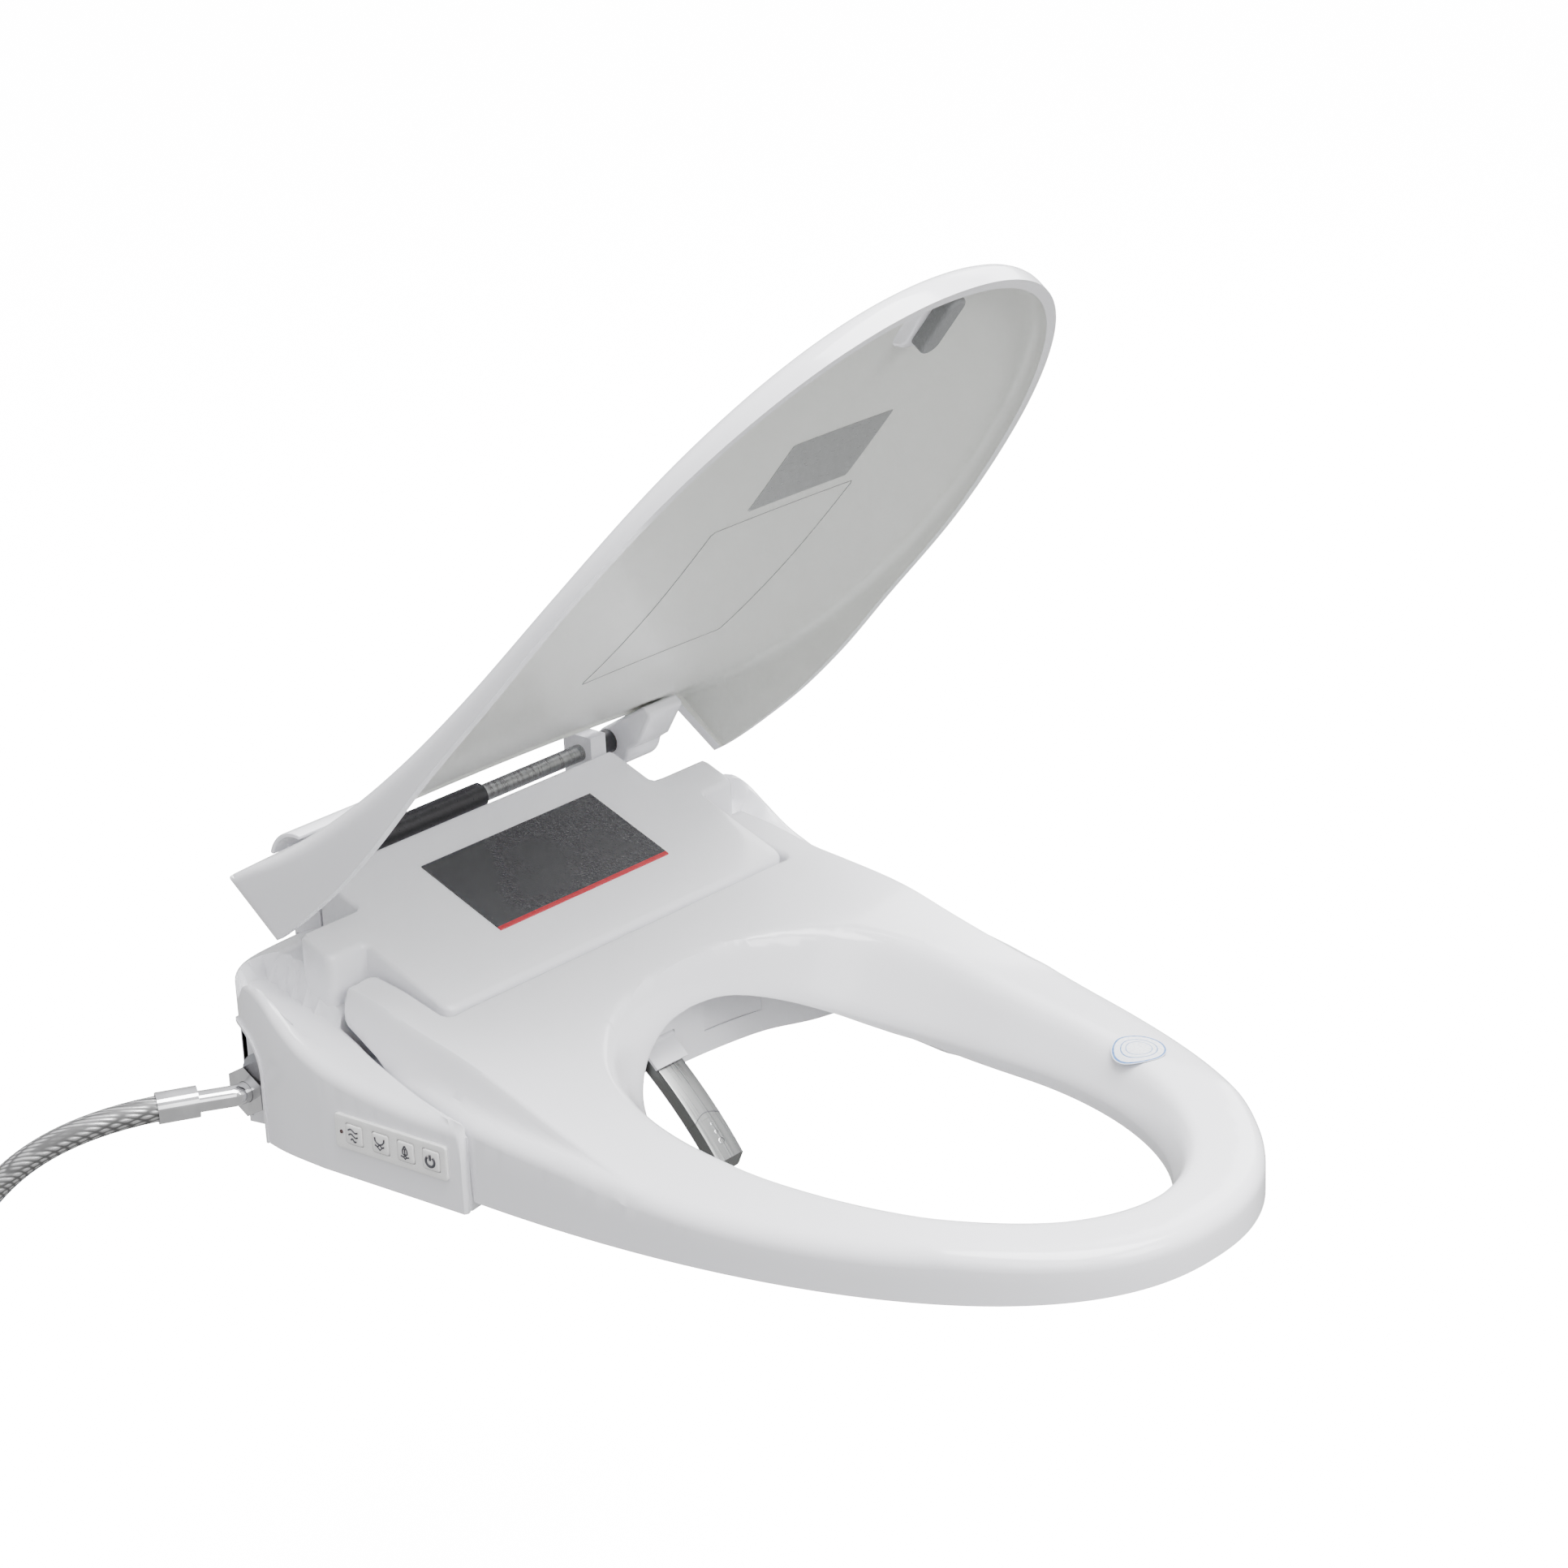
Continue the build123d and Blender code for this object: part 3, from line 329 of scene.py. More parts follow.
def edge_distance(pts, loops):
    """Distance of each point to the nearest outline, and which outline."""
    best = np.full(len(pts), 1e9)
    which = np.zeros(len(pts), dtype=int)
    for k, loop in enumerate(loops):
        a, b = loop, np.roll(loop, -1, axis=0)
        for i in range(0, len(pts), 4000):
            q = pts[i:i + 4000, None, :]
            d = b - a
            t = np.clip(((q - a) * d).sum(2) / (d ** 2).sum(1), 0, 1)
            dist = np.hypot(*np.moveaxis(q - (a + t[..., None] * d), 2, 0)).min(1)
            closer = dist < best[i:i + 4000]
            best[i:i + 4000] = np.where(closer, dist, best[i:i + 4000])
            which[i:i + 4000] = np.where(closer, k, which[i:i + 4000])
    return best, which


def inside(pts, loop):
    x, y = pts[:, 0], pts[:, 1]
    hit = np.zeros(len(pts), dtype=bool)
    for (x0, y0), (x1, y1) in zip(loop, np.roll(loop, -1, axis=0)):
        if y0 != y1:
            hit ^= ((y0 > y) != (y1 > y)) & (x < (x1 - x0) * (y - y0) / (y1 - y0) + x0)
    return hit


def inset_loop(loop, amount):
    """The outline moved inwards by the amount; negative is outwards."""
    ahead, behind = np.roll(loop, -1, axis=0), np.roll(loop, 1, axis=0)
    tangent = ahead - behind
    tangent /= np.hypot(*tangent.T)[:, None]
    normal = np.stack([-tangent[:, 1], tangent[:, 0]], axis=1)
    area = (loop[:, 0] * ahead[:, 1] - ahead[:, 0] * loop[:, 1]).sum()
    return loop + normal * amount * (1 if area > 0 else -1)


EDGE_ANGLES = (14, 28, 42, 56, 70, 84)
CLEAR = 0.93
ROW_PITCH = 0.87
RIDGE_EDGE, RIDGE_GAP = 1.2, 2.2


def within(pts, loops):
    """Which points lie inside the first outline and outside the others."""
    ok = inside(pts, loops[0])
    for hole in loops[1:]:
        ok &= ~inside(pts, hole)
    return ok


def ring_points(loops, k, d):
    """Points at the distance d from outline k, where no other outline is nearer."""
    ring = inset_loop(loops[k], -d if k else d)
    far, _ = edge_distance(ring, loops)
    return [tuple(p) for p, f in zip(ring, far) if f > d * CLEAR]


def skin(loops, radii, grid, spread=(), ridge=None):
    """Points and triangles that fill the outlines, crowded near each rounded edge.

    Spread adds rings round the holes, and ridge adds rows of points along a crease.
    """
    pts, edges = [], []
    for loop in loops:
        base = len(pts)
        pts += [tuple(p) for p in loop]
        edges += [(base + i, base + (i + 1) % len(loop)) for i in range(len(loop))]
    rim = len(pts)
    for k, r in enumerate(radii):
        for a in EDGE_ANGLES:
            pts += ring_points(loops, k, r * (1 - cos(radians(a))))
        for d in spread if k else ():
            pts += ring_points(loops, k, r + d)
    low, high = loops[0].min(0), loops[0].max(0)
    xs, ys = np.arange(low[0], high[0], grid), np.arange(low[1], high[1], grid * ROW_PITCH)
    gx, gy = np.meshgrid(xs, ys)
    gx = gx + (np.arange(len(ys)) % 2)[:, None] * grid / 2
    cells = np.stack([gx.ravel(), gy.ravel()], axis=1)
    cells = cells[within(cells, loops)]
    far, which = edge_distance(cells, loops)
    reach = np.array(radii) + np.array([0] + [max(spread, default=0)] * (len(loops) - 1))
    pts += [tuple(p) for p in cells[far > reach[which] + grid * 0.5]]
    if ridge is not None:
        near, _ = edge_distance(ridge, loops)
        line = ridge[inside(ridge, loops[0]) & (near > RIDGE_EDGE)]
        kept = [p for p in pts[rim:] if np.hypot(*(line - np.array(p)).T).min() > RIDGE_GAP]
        pts = pts[:rim] + kept + [tuple(p) for p in line]
    out, _, tris, *_ = delaunay_2d_cdt([Vector(p) for p in pts], edges, [], 0, 1e-4)
    out = np.array([(v.x, v.y) for v in out])
    tris = np.array(list(tris))
    return out, tris[within(out[tris].mean(1), loops)]


def rounding(d, r):
    d = np.clip(d, 0, r)
    return r - np.sqrt(np.maximum(r * r - (r - d) ** 2, 0))


WALL_ROWS = (0.34, 0.67, 1.0)
LEAST_WALL = 0.2


def moulded(name, loops, top, bottom, radii, wall, thick, inner_radii, grid=6.0, soften=None, spread=(),
            ridge=None):
    """A moulded shell, open below: rounded top skin, side walls, and an inner skin. Works in mm."""
    verts, faces, groups, ends = [], [], [], []
    for layer, (drop, rs) in enumerate(((0, radii), (thick, inner_radii))):
        if layer:
            use = [inset_loop(loops[0], wall)] + [inset_loop(h, -wall) for h in loops[1:]]
        else:
            use = loops
        pts, tris = skin(use, rs, grid, spread, ridge)
        far, which = edge_distance(pts, use)
        r = np.array(rs, dtype=float)[which]
        if soften:
            r = soften(pts[:, 0], pts[:, 1], r)
        z = top(pts[:, 0], pts[:, 1]) - drop - rounding(far, r)
        base = len(verts)
        verts += [(x, y, h) for (x, y), h in zip(pts, z)]
        for a, b, c in tris:
            ab, ac = pts[b] - pts[a], pts[c] - pts[a]
            up = ab[0] * ac[1] - ab[1] * ac[0] > 0
            tri = (base + a, base + b, base + c) if up else (base + a, base + c, base + b)
            faces.append(tri[::-1] if layer else tri)
            groups.append(layer)
        offset = 0
        low_ids = []
        for loop in use:
            n = len(loop)
            rows = [[base + offset + i for i in range(n)]]
            z_low = bottom(loop[:, 0], loop[:, 1])
            for f in WALL_ROWS:
                start = len(verts)
                for i in range(n):
                    zt = verts[rows[0][i]][2]
                    verts.append((loop[i][0], loop[i][1], zt + (min(z_low[i], zt - LEAST_WALL) - zt) * f))
                rows.append(list(range(start, start + n)))
            for upper, lower in zip(rows, rows[1:]):
                for i in range(n):
                    j = (i + 1) % n
                    faces.append((upper[i], upper[j], lower[j], lower[i]))
                    groups.append(layer)
            low_ids.append(rows[-1])
            offset += n
        ends.append(low_ids)
    for outer, inner in zip(*ends):
        for i in range(len(outer)):
            j = (i + 1) % len(outer)
            faces.append((outer[i], outer[j], inner[j], inner[i]))
            groups.append(0)
    mesh = smooth_mesh(name, [(x * MM, y * MM, z * MM) for x, y, z in verts],
                       [tuple(int(i) for i in f) for f in faces])
    work = bmesh.new()
    work.from_mesh(mesh)
    for face, group in zip(work.faces, groups):
        face.material_index = group
    bmesh.ops.remove_doubles(work, verts=work.verts, dist=1e-6)
    bmesh.ops.recalc_face_normals(work, faces=work.faces)
    work.to_mesh(mesh)
    work.free()
    mesh.set_sharp_from_angle(angle=radians(40))
    return put(name, mesh)


def flat_bottom(z):
    return lambda x, y: np.full(len(x), float(z))


# ---------------------------------------------------------------- seat shell
SEAT_HEIGHT = chain([(-36, 87.5), (-64, 84), (-97, 77.3), (-118, 74.6), (-164, 67), (-189, 60.6), (-220, 54),
                     (-254, 48), (-283, 44.5), (-311, 42), (-365, 37.4), (-430, 32.8), (-495, 28)])
SEAT_FALL = chain([(-36, 0.03), (-97, 0.03), (-160, 0.04), (-184, 0.06), (-216, 0.1), (-254, 0.15),
                   (-495, 0.16)])
SEAT_CREASE = chain([(-36, 152.5), (-111, 156), (-160, 160), (-200, 162), (-250, 164), (-495, 166)])
SHOULDER = chain([(-36, 51), (-155, 50), (-186, 47), (-217, 44.3), (-254, 41), (-300, 60), (-495, 60)])
SEAT_A, SEAT_B, SEAT_YC, SEAT_N, SEAT_M = 180.0, 378.5, -111.4, 2.14, 2.28
SEAT_UNDER, SEAT_WALL, SEAT_THICK = 5.8, 3.0, 3.4
ARM_FRONT_Y, FAR_BULGE = -158.0, 6.0
DECK_X, FACET_SLOPE, SHOULDER_X, SHOULDER_SLOPE = 115, 2.3, 172, 0.25
HOLE_YC, HOLE_A, HOLE_FRONT, HOLE_REAR = -290.7, 101.6, 156.9, 146.0
FRONT_N, REAR_N = 1.9, 2.96
RISE, SIDE_GROWTH, FRONT_GROWTH, REAR_GROWTH = 50, 31, 22, 13
RIM_Z, REAR_RIM_Z = 15.0, 50
HOLE_RIM = chain([(0, 47), (20, 45.5), (45, 38), (76, 23), (91, 13.5), (98, 9.5), (101.6, 5.8)])
HOLE_LIP = chain([(0, 50), (20, 48.5), (45, 42), (76, 28), (91, 20), (101.6, 15), (130, 15)])


def seat_loop():
    t0 = (SEAT_YC - ARM_FRONT_Y) / SEAT_B
    right = []
    for i in range(60):
        t = t0 + (1 - t0) * (1 - (1 - i / 60) ** 2)
        right.append((SEAT_A * max(1 - t ** SEAT_N, 0) ** (1 / SEAT_M), SEAT_YC - SEAT_B * t))
    left = [(-x, y) for x, y in reversed(right)]
    right = [(x + FAR_BULGE * sin(pi * min(max((-220 - y) / 270, 0), 1)), y) for x, y in right]
    ring = right + [(0, SEAT_YC - SEAT_B)] + left
    corners = [(-157.3, -41.5), (-133.5, -41.5), (-133.5, -96.7)]
    corners += [(-x, y) for x, y in reversed(corners)]
    radii = [0] * len(ring) + [5, 3, 4, 4, 3, 5]
    return resample(round_corners(ring + corners, radii), 3.0)


def hole_loop():
    points = []
    for i in range(120):
        w = 2 * pi * i / 120
        c, s = cos(w), sin(w)
        n, b = (REAR_N, HOLE_REAR) if s > 0 else (FRONT_N, HOLE_FRONT)
        points.append((HOLE_A * c, HOLE_YC + b * abs(s) ** (2 / n) * (1 if s > 0 else -1)))
    return resample(points, 3.0)


def hole_rise(x, y):
    """How far the hole's sloping lip has risen at a point, 1 being RISE millimetres up."""
    low, high = np.full(len(x), -0.3), np.full(len(x), 6.0)
    rear = y > HOLE_YC
    n = np.where(rear, REAR_N, FRONT_N)
    for _ in range(26):
        t = (low + high) / 2
        b = np.where(rear, HOLE_REAR + REAR_GROWTH * t, HOLE_FRONT + FRONT_GROWTH * t)
        out = (np.abs(x) / (HOLE_A + SIDE_GROWTH * t)) ** 2 + (np.abs(y - HOLE_YC) / b) ** n > 1
        low, high = np.where(out, t, low), np.where(out, high, t)
    return (low + high) / 2


def seat_top(x, y):
    """The seat's upper face: a deck, a steep facet along each arm, a shoulder, and the hole's lip."""
    ax = np.abs(x)
    crease = SEAT_CREASE(y)
    deck = SEAT_HEIGHT(y) - SEAT_FALL(y) * np.maximum(ax - DECK_X, 0)
    edge = SEAT_HEIGHT(y) - SEAT_FALL(y) * (crease - DECK_X)
    facet = edge - FACET_SLOPE * (ax - crease)
    shoulder = SHOULDER(y) - SHOULDER_SLOPE * (ax - SHOULDER_X)
    z = smin(deck, -smin(-facet, -shoulder, 3.0), 2.5)
    rise = hole_rise(x, y)
    across = HOLE_LIP(ax / (HOLE_A + SIDE_GROWTH * np.maximum(rise, 0)) * HOLE_A)
    base = np.where(y > HOLE_YC, across, RIM_Z)
    return smin(z, base + RISE * rise, np.interp(base, [RIM_Z, REAR_RIM_Z], [10.0, 5.0]))


def seat_bottom(x, y):
    """The lower edge: over the housing the arms end high, and the hole's rear rim rises in an arch."""
    ax = np.abs(x)
    front = np.interp(ax, [0, 67, 109, 184.2], [-120, -126.5, -143, -155]) - 1.5
    z = np.where(y > front, np.interp(y, [-108, -55, -47, -41.5], [45.2, 63.5, 66, 70]), SEAT_UNDER)
    hole = (ax < 106) & (y < -138) & (y > -452)
    return np.where(hole, np.where(y > HOLE_YC, HOLE_RIM(ax), SEAT_UNDER), z)


def dress(obj, body, slot, *mats, replaces=()):
    """Gives a piece its materials, hides the nodes it stands for and parents it to its body; the slot is not
    used.
    """
    for mat in mats:
        obj.data.materials.append(mat)
    if replaces:
        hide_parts(*replaces)
    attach(obj, body)
    return obj


def seat_round(x, y, r):
    """The outer edge's radius shrinks towards the rear of the arms."""
    rear = np.interp(y, [-260, -160, -100, -60], [1.0, 0.62, 0.4, 0.25])
    return np.where(r > 4, r * rear, r)


CREASE_OFFSETS = (-7.5, -4.0, -1.7, -0.5, 0.6, 1.8, 3.6, 6.0, 8.6)
HOLE_RINGS = (1.5, 3.5, 6, 9, 12.5, 16.5, 21)


def crease_points():
    """Rows of points along the arms' creases, so the edge comes out clean."""
    rows = []
    for y in np.arange(-44, -262, -3.2):
        x = float(SEAT_CREASE(y))
        rows += [(side * (x + d), y) for side in (-1, 1) for d in CREASE_OFFSETS]
    return np.array(rows)


def make_seat_shell():
    obj = moulded("seat_top", [seat_loop(), hole_loop()], seat_top, seat_bottom, [9.0, 3.0], SEAT_WALL,
                  SEAT_THICK, [6.5, 1.0], soften=seat_round, spread=HOLE_RINGS, ridge=crease_points())
    dress(obj, "seat", "gloss_white", M["gloss_white"], M["white_plastic"],
          replaces=["seat_upper_shell"])


make_seat_shell()


def patch(name, loop, height, grid, mat, body, slot, turn=None, replaces=(), thickness=0.15):
    """A thin printed sheet that follows a surface."""
    pts, tris = skin([loop], [0.4], grid)
    z = height(pts[:, 0], pts[:, 1])
    mesh = smooth_mesh(name, [(x * MM, y * MM, h * MM) for (x, y), h in zip(pts, z)],
                       [tuple(int(i) for i in t) for t in tris])
    obj = put(name, mesh)
    if turn:
        mesh.transform(turn)
    thick = obj.modifiers.new("thick", "SOLIDIFY")
    thick.thickness = thickness * MM
    thick.offset = 0
    return dress(obj, body, slot, mat, replaces=replaces)


def circle_loop(x, y, r, n=48):
    return np.array([(x + r * cos(2 * pi * i / n), y + r * sin(2 * pi * i / n)) for i in range(n)])


def box_loop(x0, x1, y0, y1, r, step=2.0):
    return resample(round_corners([(x0, y0), (x1, y0), (x1, y1), (x0, y1)], [r] * 4), step)


# ---------------------------------------------------------------- lid
HINGE = (31.6, 120.4)
LID_ANGLE = 51.8
OPENED = (Matrix.Translation((0, HINGE[0] * MM, HINGE[1] * MM)) @ Matrix.Rotation(radians(-LID_ANGLE), 4, "X")
          @ Matrix.Translation((0, -HINGE[0] * MM, -HINGE[1] * MM)))
LID_TOP = chain([(22, 127.5, 134), (-10, 114.5, 120.5), (-30, 105.8, 111.8), (-60, 94.8, 101),
                 (-100, 82.6, 88.6), (-157, 69.6, 75.6), (-215, 60.8, 66.5), (-300, 54.2, 59.6),
                 (-390, 52, 57), (-490, 50.8, 55)])
LID_BOTTOM = chain([(-495, 38.8), (-400, 41.5), (-315, 43.8), (-230, 47.3), (-157, 53.5), (-100, 57.5),
                    (-60, 62.8), (-30, 69), (0, 76.5), (22, 83.5)])
LID_SKIN, LID_RIM, LID_REAR_Y = 3.2, 6.0, 12.3
LUG_R, COVER_R = 16, (22, 19.4)


def lid_loop():
    a, yc, tip, n, m, rear, waist = 180.0, -117.8, -477.6, 2.81, 2.09, LID_REAR_Y, 6.3
    right = [(a - waist + waist * (1 - (1 - i / 12) ** 1.6), rear + (yc - rear) * i / 12) for i in range(12)]
    for i in range(60):
        s = 1 - (1 - i / 60) ** 2
        right.append((a * max(1 - s ** n, 0) ** (1 / m), yc - (yc - tip) * s))
    left = [(-x, y) for x, y in reversed(right)]
    points = right + [(0, tip)] + left
    return resample(round_corners(points, [5] + [0] * (len(points) - 2) + [5]), 3.0)


def lid_top(x, y):
    """The closed lid's outer face, crowned across its width."""
    edge, middle = LID_TOP(y, 0), LID_TOP(y, 1)
    return middle - (middle - edge) * (x / 195) ** 2


def lid_bottom(x, y):
    """The rim's lower edge; the rear end is open between the rims."""
    rear = (y > 5.8) & (np.abs(x) < 166)
    return np.where(rear, lid_top(x, y) - 4.6, LID_BOTTOM(y))


def lid_round(x, y, r):
    """A soft edge, tighter at the rear end."""
    near_rear = (y > -4) & (LID_REAR_Y - y < 174 - np.abs(x))
    return np.where(near_rear, 2.0, np.interp(y, [-470, -300, -60, 0], [9.0, 10.0, 9.0, 6.0]) * r / 10.0)


def prism_x(name, outline, x0, x1, bevel, segments=3):
    """A side profile in y and z, drawn out along x and bevelled."""
    n = len(outline)
    verts = [(x0 * MM, y * MM, z * MM) for y, z in outline] + [(x1 * MM, y * MM, z * MM) for y, z in outline]
    faces = [tuple(range(n)), tuple(range(2 * n - 1, n - 1, -1))]
    faces += [(i, (i + 1) % n, n + (i + 1) % n, n + i) for i in range(n)]
    mesh = smooth_mesh(name, verts, faces)
    face_outwards(mesh)
    mesh.set_sharp_from_angle(angle=radians(35))
    obj = put(name, mesh)
    if bevel:
        mod = obj.modifiers.new("soft", "BEVEL")
        mod.width, mod.segments = bevel * MM, segments
        mod.limit_method, mod.angle_limit = "ANGLE", radians(40)
        mod.harden_normals = True
    return obj


def make_lid():
    """The shell, its two rear lugs, and the curved cover over the hinge shaft."""
    lid = moulded("lid_shell_smooth", [lid_loop()], lid_top, lid_bottom, [10.0], LID_RIM, LID_SKIN, [7.0],
                  soften=lid_round)
    lid.data.transform(OPENED)
    # the lid's inner skin and inner rim walls get the greyer copy as painted shade
    dress(lid, "lid", "gloss_white", M["gloss_white"], M["lid_inside_painted_shade"], replaces=["lid_shell"])
    hy, hz = HINGE
    arc = [(hy + LUG_R * cos(radians(w)), hz + LUG_R * sin(radians(w))) for w in range(240, 392, 8)]
    profile = [(-8, 107), (16, 104)] + arc + [(40, 129.5), (31, 129), (12, 122), (-8, 114)]
    for side, x0, x1 in (("near", -141, -118), ("far", 124, 152)):
        lug = prism_x(f"lid_lug_{side}", profile, x0, x1, 3.5, 4)
        lug.data.transform(OPENED)
        dress(lug, "lid", "gloss_white", M["gloss_white"])
    angles = [radians(w) for w in range(152, 62, -6)]
    outer, inner = COVER_R
    cover = [(hy + outer * cos(w), hz + outer * sin(w)) for w in angles]
    cover += [(hy + inner * cos(w), hz + inner * sin(w)) for w in reversed(angles)]
    back = prism_x("lid_rear_cover", cover, -117.2, 123.2, 0.8, 2)
    back.data.transform(OPENED)
    dress(back, "lid", "gloss_white", M["gloss_white"])


POST_AT, POST_CORNER, POST_SIDES = (8, -447), 0.6, 32
POST_ROWS = ((54.5, 17.0, 25.0), (50.0, 13.0, 22.5), (48.4, 8.3, 20.6))


def make_lid_post():
    """The tapered post that carries the bumper pad: height, half width and half length of each row."""
    verts, faces = [], []
    n = POST_SIDES
    for z, half_x, half_y in POST_ROWS:
        for i in range(n):
            w = 2 * pi * i / n
            c, s = cos(w), sin(w)
            verts.append(((POST_AT[0] + half_x * abs(c) ** POST_CORNER * (1 if c > 0 else -1)) * MM,
                          (POST_AT[1] + half_y * abs(s) ** POST_CORNER * (1 if s > 0 else -1)) * MM, z * MM))
    for k in range(len(POST_ROWS) - 1):
        a, b = k * n, (k + 1) * n
        faces += [(a + i, a + (i + 1) % n, b + (i + 1) % n, b + i) for i in range(n)]
    faces += [tuple(range(n)), tuple(range(3 * n - 1, 2 * n - 1, -1))]
    mesh = smooth_mesh("lid_post", verts, faces)
    mesh.set_sharp_from_angle(angle=radians(35))
    mesh.transform(OPENED)
    dress(put("lid_post", mesh), "lid", "gloss_white", M["gloss_white"])


def line_print(name, lines, place, width, body, mat):
    """Thin printed strokes; place turns a stroke's points into metres."""
    curve = bpy.data.curves.new(name, "CURVE")
    curve.dimensions = "3D"
    curve.bevel_depth, curve.bevel_resolution = width * MM, 1
    for line in lines:
        spline = curve.splines.new("POLY")
        spline.points.add(len(line) - 1)
        for p, q in zip(spline.points, line):
            p.co = (*place(q), 1)
    return dress(put(name, curve), body, "black_plastic", mat)


def under_lid(q):
    """A plan point on the lid's inner face, in metres."""
    z = lid_top(np.array([q[0]]), np.array([q[1]]))[0] - LID_SKIN - 0.1
    return OPENED @ Vector((q[0] * MM, q[1] * MM, z * MM))


LABEL_STEP, LABEL_FLAT, LABEL_LIFT = 8, 0.65, 0.5


def label_height(x, y):
    """The label bridges the deck's crown, so it lies flatter than the deck does."""
    x0, y0 = STICKER_AT
    d = LABEL_STEP
    z = seat_top(np.array([x0, x0 - d, x0 + d, x0, x0]), np.array([y0, y0, y0, y0 - d, y0 + d]))
    plane = z[0] + (z[2] - z[1]) / (2 * d) * (x - x0) + (z[4] - z[3]) / (2 * d) * (y - y0)
    deck = seat_top(x, y)
    return np.maximum(deck, LABEL_FLAT * plane + (1 - LABEL_FLAT) * deck) + LABEL_LIFT


make_lid()
make_lid_post()
outline = box_loop(-50, 55, -300, -160, 2, 3.0)
line_print("lid_label_outline", [[tuple(p) for p in outline] + [tuple(outline[0])]], under_lid, 0.22, "lid",
           M["print_grey"])
patch("lid_foil_label", box_loop(-31, 43, -361, -309, 1), lambda x, y: lid_top(x, y) - LID_SKIN - 0.15, 8,
      M["silver_foil"], "lid", "silver_foil", OPENED, ["lid_sticker"])
patch("seat_round_label", circle_loop(*STICKER_AT, STICKER_R), label_height, 3, M["sticker"],
      "seat", "sticker", None, ["seat_sticker"])


PLATE_GAP, PLATE_END, PLATE_Z, PLATE_THICK = 3.4, -245, 6.9, 2.2
HEATER_END, HEATER_DROP = -185, 4.2


def lower_loop():
    """The seat's lower plate: a horseshoe between the seat's walls."""
    def turn(p):
        return np.arctan2(p[1] - PLATE_END, p[0])

    outer = sorted([p for p in inset_loop(seat_loop(), PLATE_GAP) if p[1] < PLATE_END], key=turn)
    inner = sorted([p for p in inset_loop(hole_loop(), -PLATE_GAP) if p[1] < PLATE_END],
                   key=lambda p: -turn(p))
    return resample([tuple(p) for p in outer + inner], 3.0)


def heater_loop():
    """A horseshoe that stays clear of the seat's two edges."""
    outer, inner = [], []
    for i in range(60):
        w = pi * i / 59
        outer.append((160 * cos(w), HEATER_END - 283 * sin(w) ** 0.85))
        inner.append((126 * cos(w), HEATER_END - 275 * sin(w) ** 0.95 if sin(w) > 0 else HEATER_END))
    return resample(outer + inner[::-1], 4.0)


patch("seat_lower_plate", lower_loop(), flat_bottom(PLATE_Z), 9, M["white_plastic"], "seat", "white_plastic",
      None, ["seat_lower_shell"], PLATE_THICK)
patch("seat_heater", heater_loop(), lambda x, y: seat_top(x, y) - HEATER_DROP, 9, M["foil"], "seat", "foil",
      None, ["seat_heater_mat"])


# ---------------------------------------------------------------- housing
CREST = chain([(-168, 50.5), (-140, 50), (-118, 50.8), (-98, 53), (-79, 56), (-60, 60.5), (-43, 67.5),
               (-28, 77.5), (-14, 88), (4, 92.5), (26, 87), (52, 77)])
TROUGH = chain([(-66, 59.5), (-30, 67.2), (0, 74.8), (16, 79.5)])


def curve_through(points, n=8):
    """A smooth plan curve through the points."""
    p = [Vector(q) for q in points]
    p = [p[0] * 2 - p[1]] + p + [p[-1] * 2 - p[-2]]
    out = []
    for a, b_, c, d in zip(p, p[1:], p[2:], p[3:]):
        for k in range(n):
            t = k / n
            q = 0.5 * ((2 * b_) + (c - a) * t + (2 * a - 5 * b_ + 4 * c - d) * t * t
                       + (3 * b_ - a - 3 * c + d) * t ** 3)
            out.append((q.x, q.y))
    out.append((p[-2].x, p[-2].y))
    return out


def bay_x(y):
    """Half the width of the bay that an arm lies in."""
    return 161 + 0.1885 * (-53.5 - y)


def wing_loop(g=0.0):
    """The cover's plan, grown by g: a curved rear wall and a wing each side of the seat's arms."""
    half = [(191.3 + g, -90), (192 + g, -57), (190.5 + g, -18), (179 + g, 17 + g), (150, 36.5 + g),
            (90, 44.5 + g)]
    rear = curve_through(half + [(0, 47 + g)] + [(-x, y) for x, y in reversed(half)])
    rear = [p for p in rear if p[1] > -57.5]
    inner = [(-184.2 - g, -155), (-bay_x(-155), -155), (-bay_x(-39), -39)]
    inner += [(-x, y) for x, y in reversed(inner)]
    radii = [0] * len(rear) + [1.2, 1.0, 5, 5, 1.0, 1.2]
    return resample(round_corners(rear + inner, radii), 2.6)


def wing_top(x, y):
    """A crest along each wing's edge, with a trough inside it."""
    ax = np.abs(x)
    crest = CREST(y)
    low = np.minimum(TROUGH(np.clip(y, -66, 16)), crest)
    across = np.clip((ax - 180.0) / 6.5, 0, 1)
    across = np.maximum(across, np.clip((158.5 - ax) / 2.5, 0, 1))
    along = np.clip((-64.5 - y) / 4.0, 0, 1) + np.clip((y - 15) / 3.0, 0, 1)
    f = np.clip(np.maximum(across, along), 0, 1)
    f = f * f * (3 - 2 * f)
    return low + (crest - low) * f


def wing_round(x, y, r):
    outer = np.interp(y, [-155, -57, -18, 17, 47], [184.2, 192, 190.5, 179, 150])
    inner = (np.abs(x) < (bay_x(y) + outer) / 2) & (y < -30)
    return np.where(inner, 2.0, r)


def front_curve():
    half = [(0, -120), (67, -126.5), (109, -143), (184.2, -155)]
    points = [(-x, y) for x, y in reversed(half[1:])] + half
    return curve_through(points, 14)


def floor_loop():
    front = [p for p in front_curve() if abs(p[0]) < 180.5]
    rest = [(180.5, -152), (bay_x(-50) + 2, -50), (-bay_x(-50) - 2, -50), (-180.5, -152)]
    return resample(front + rest, 3.0)


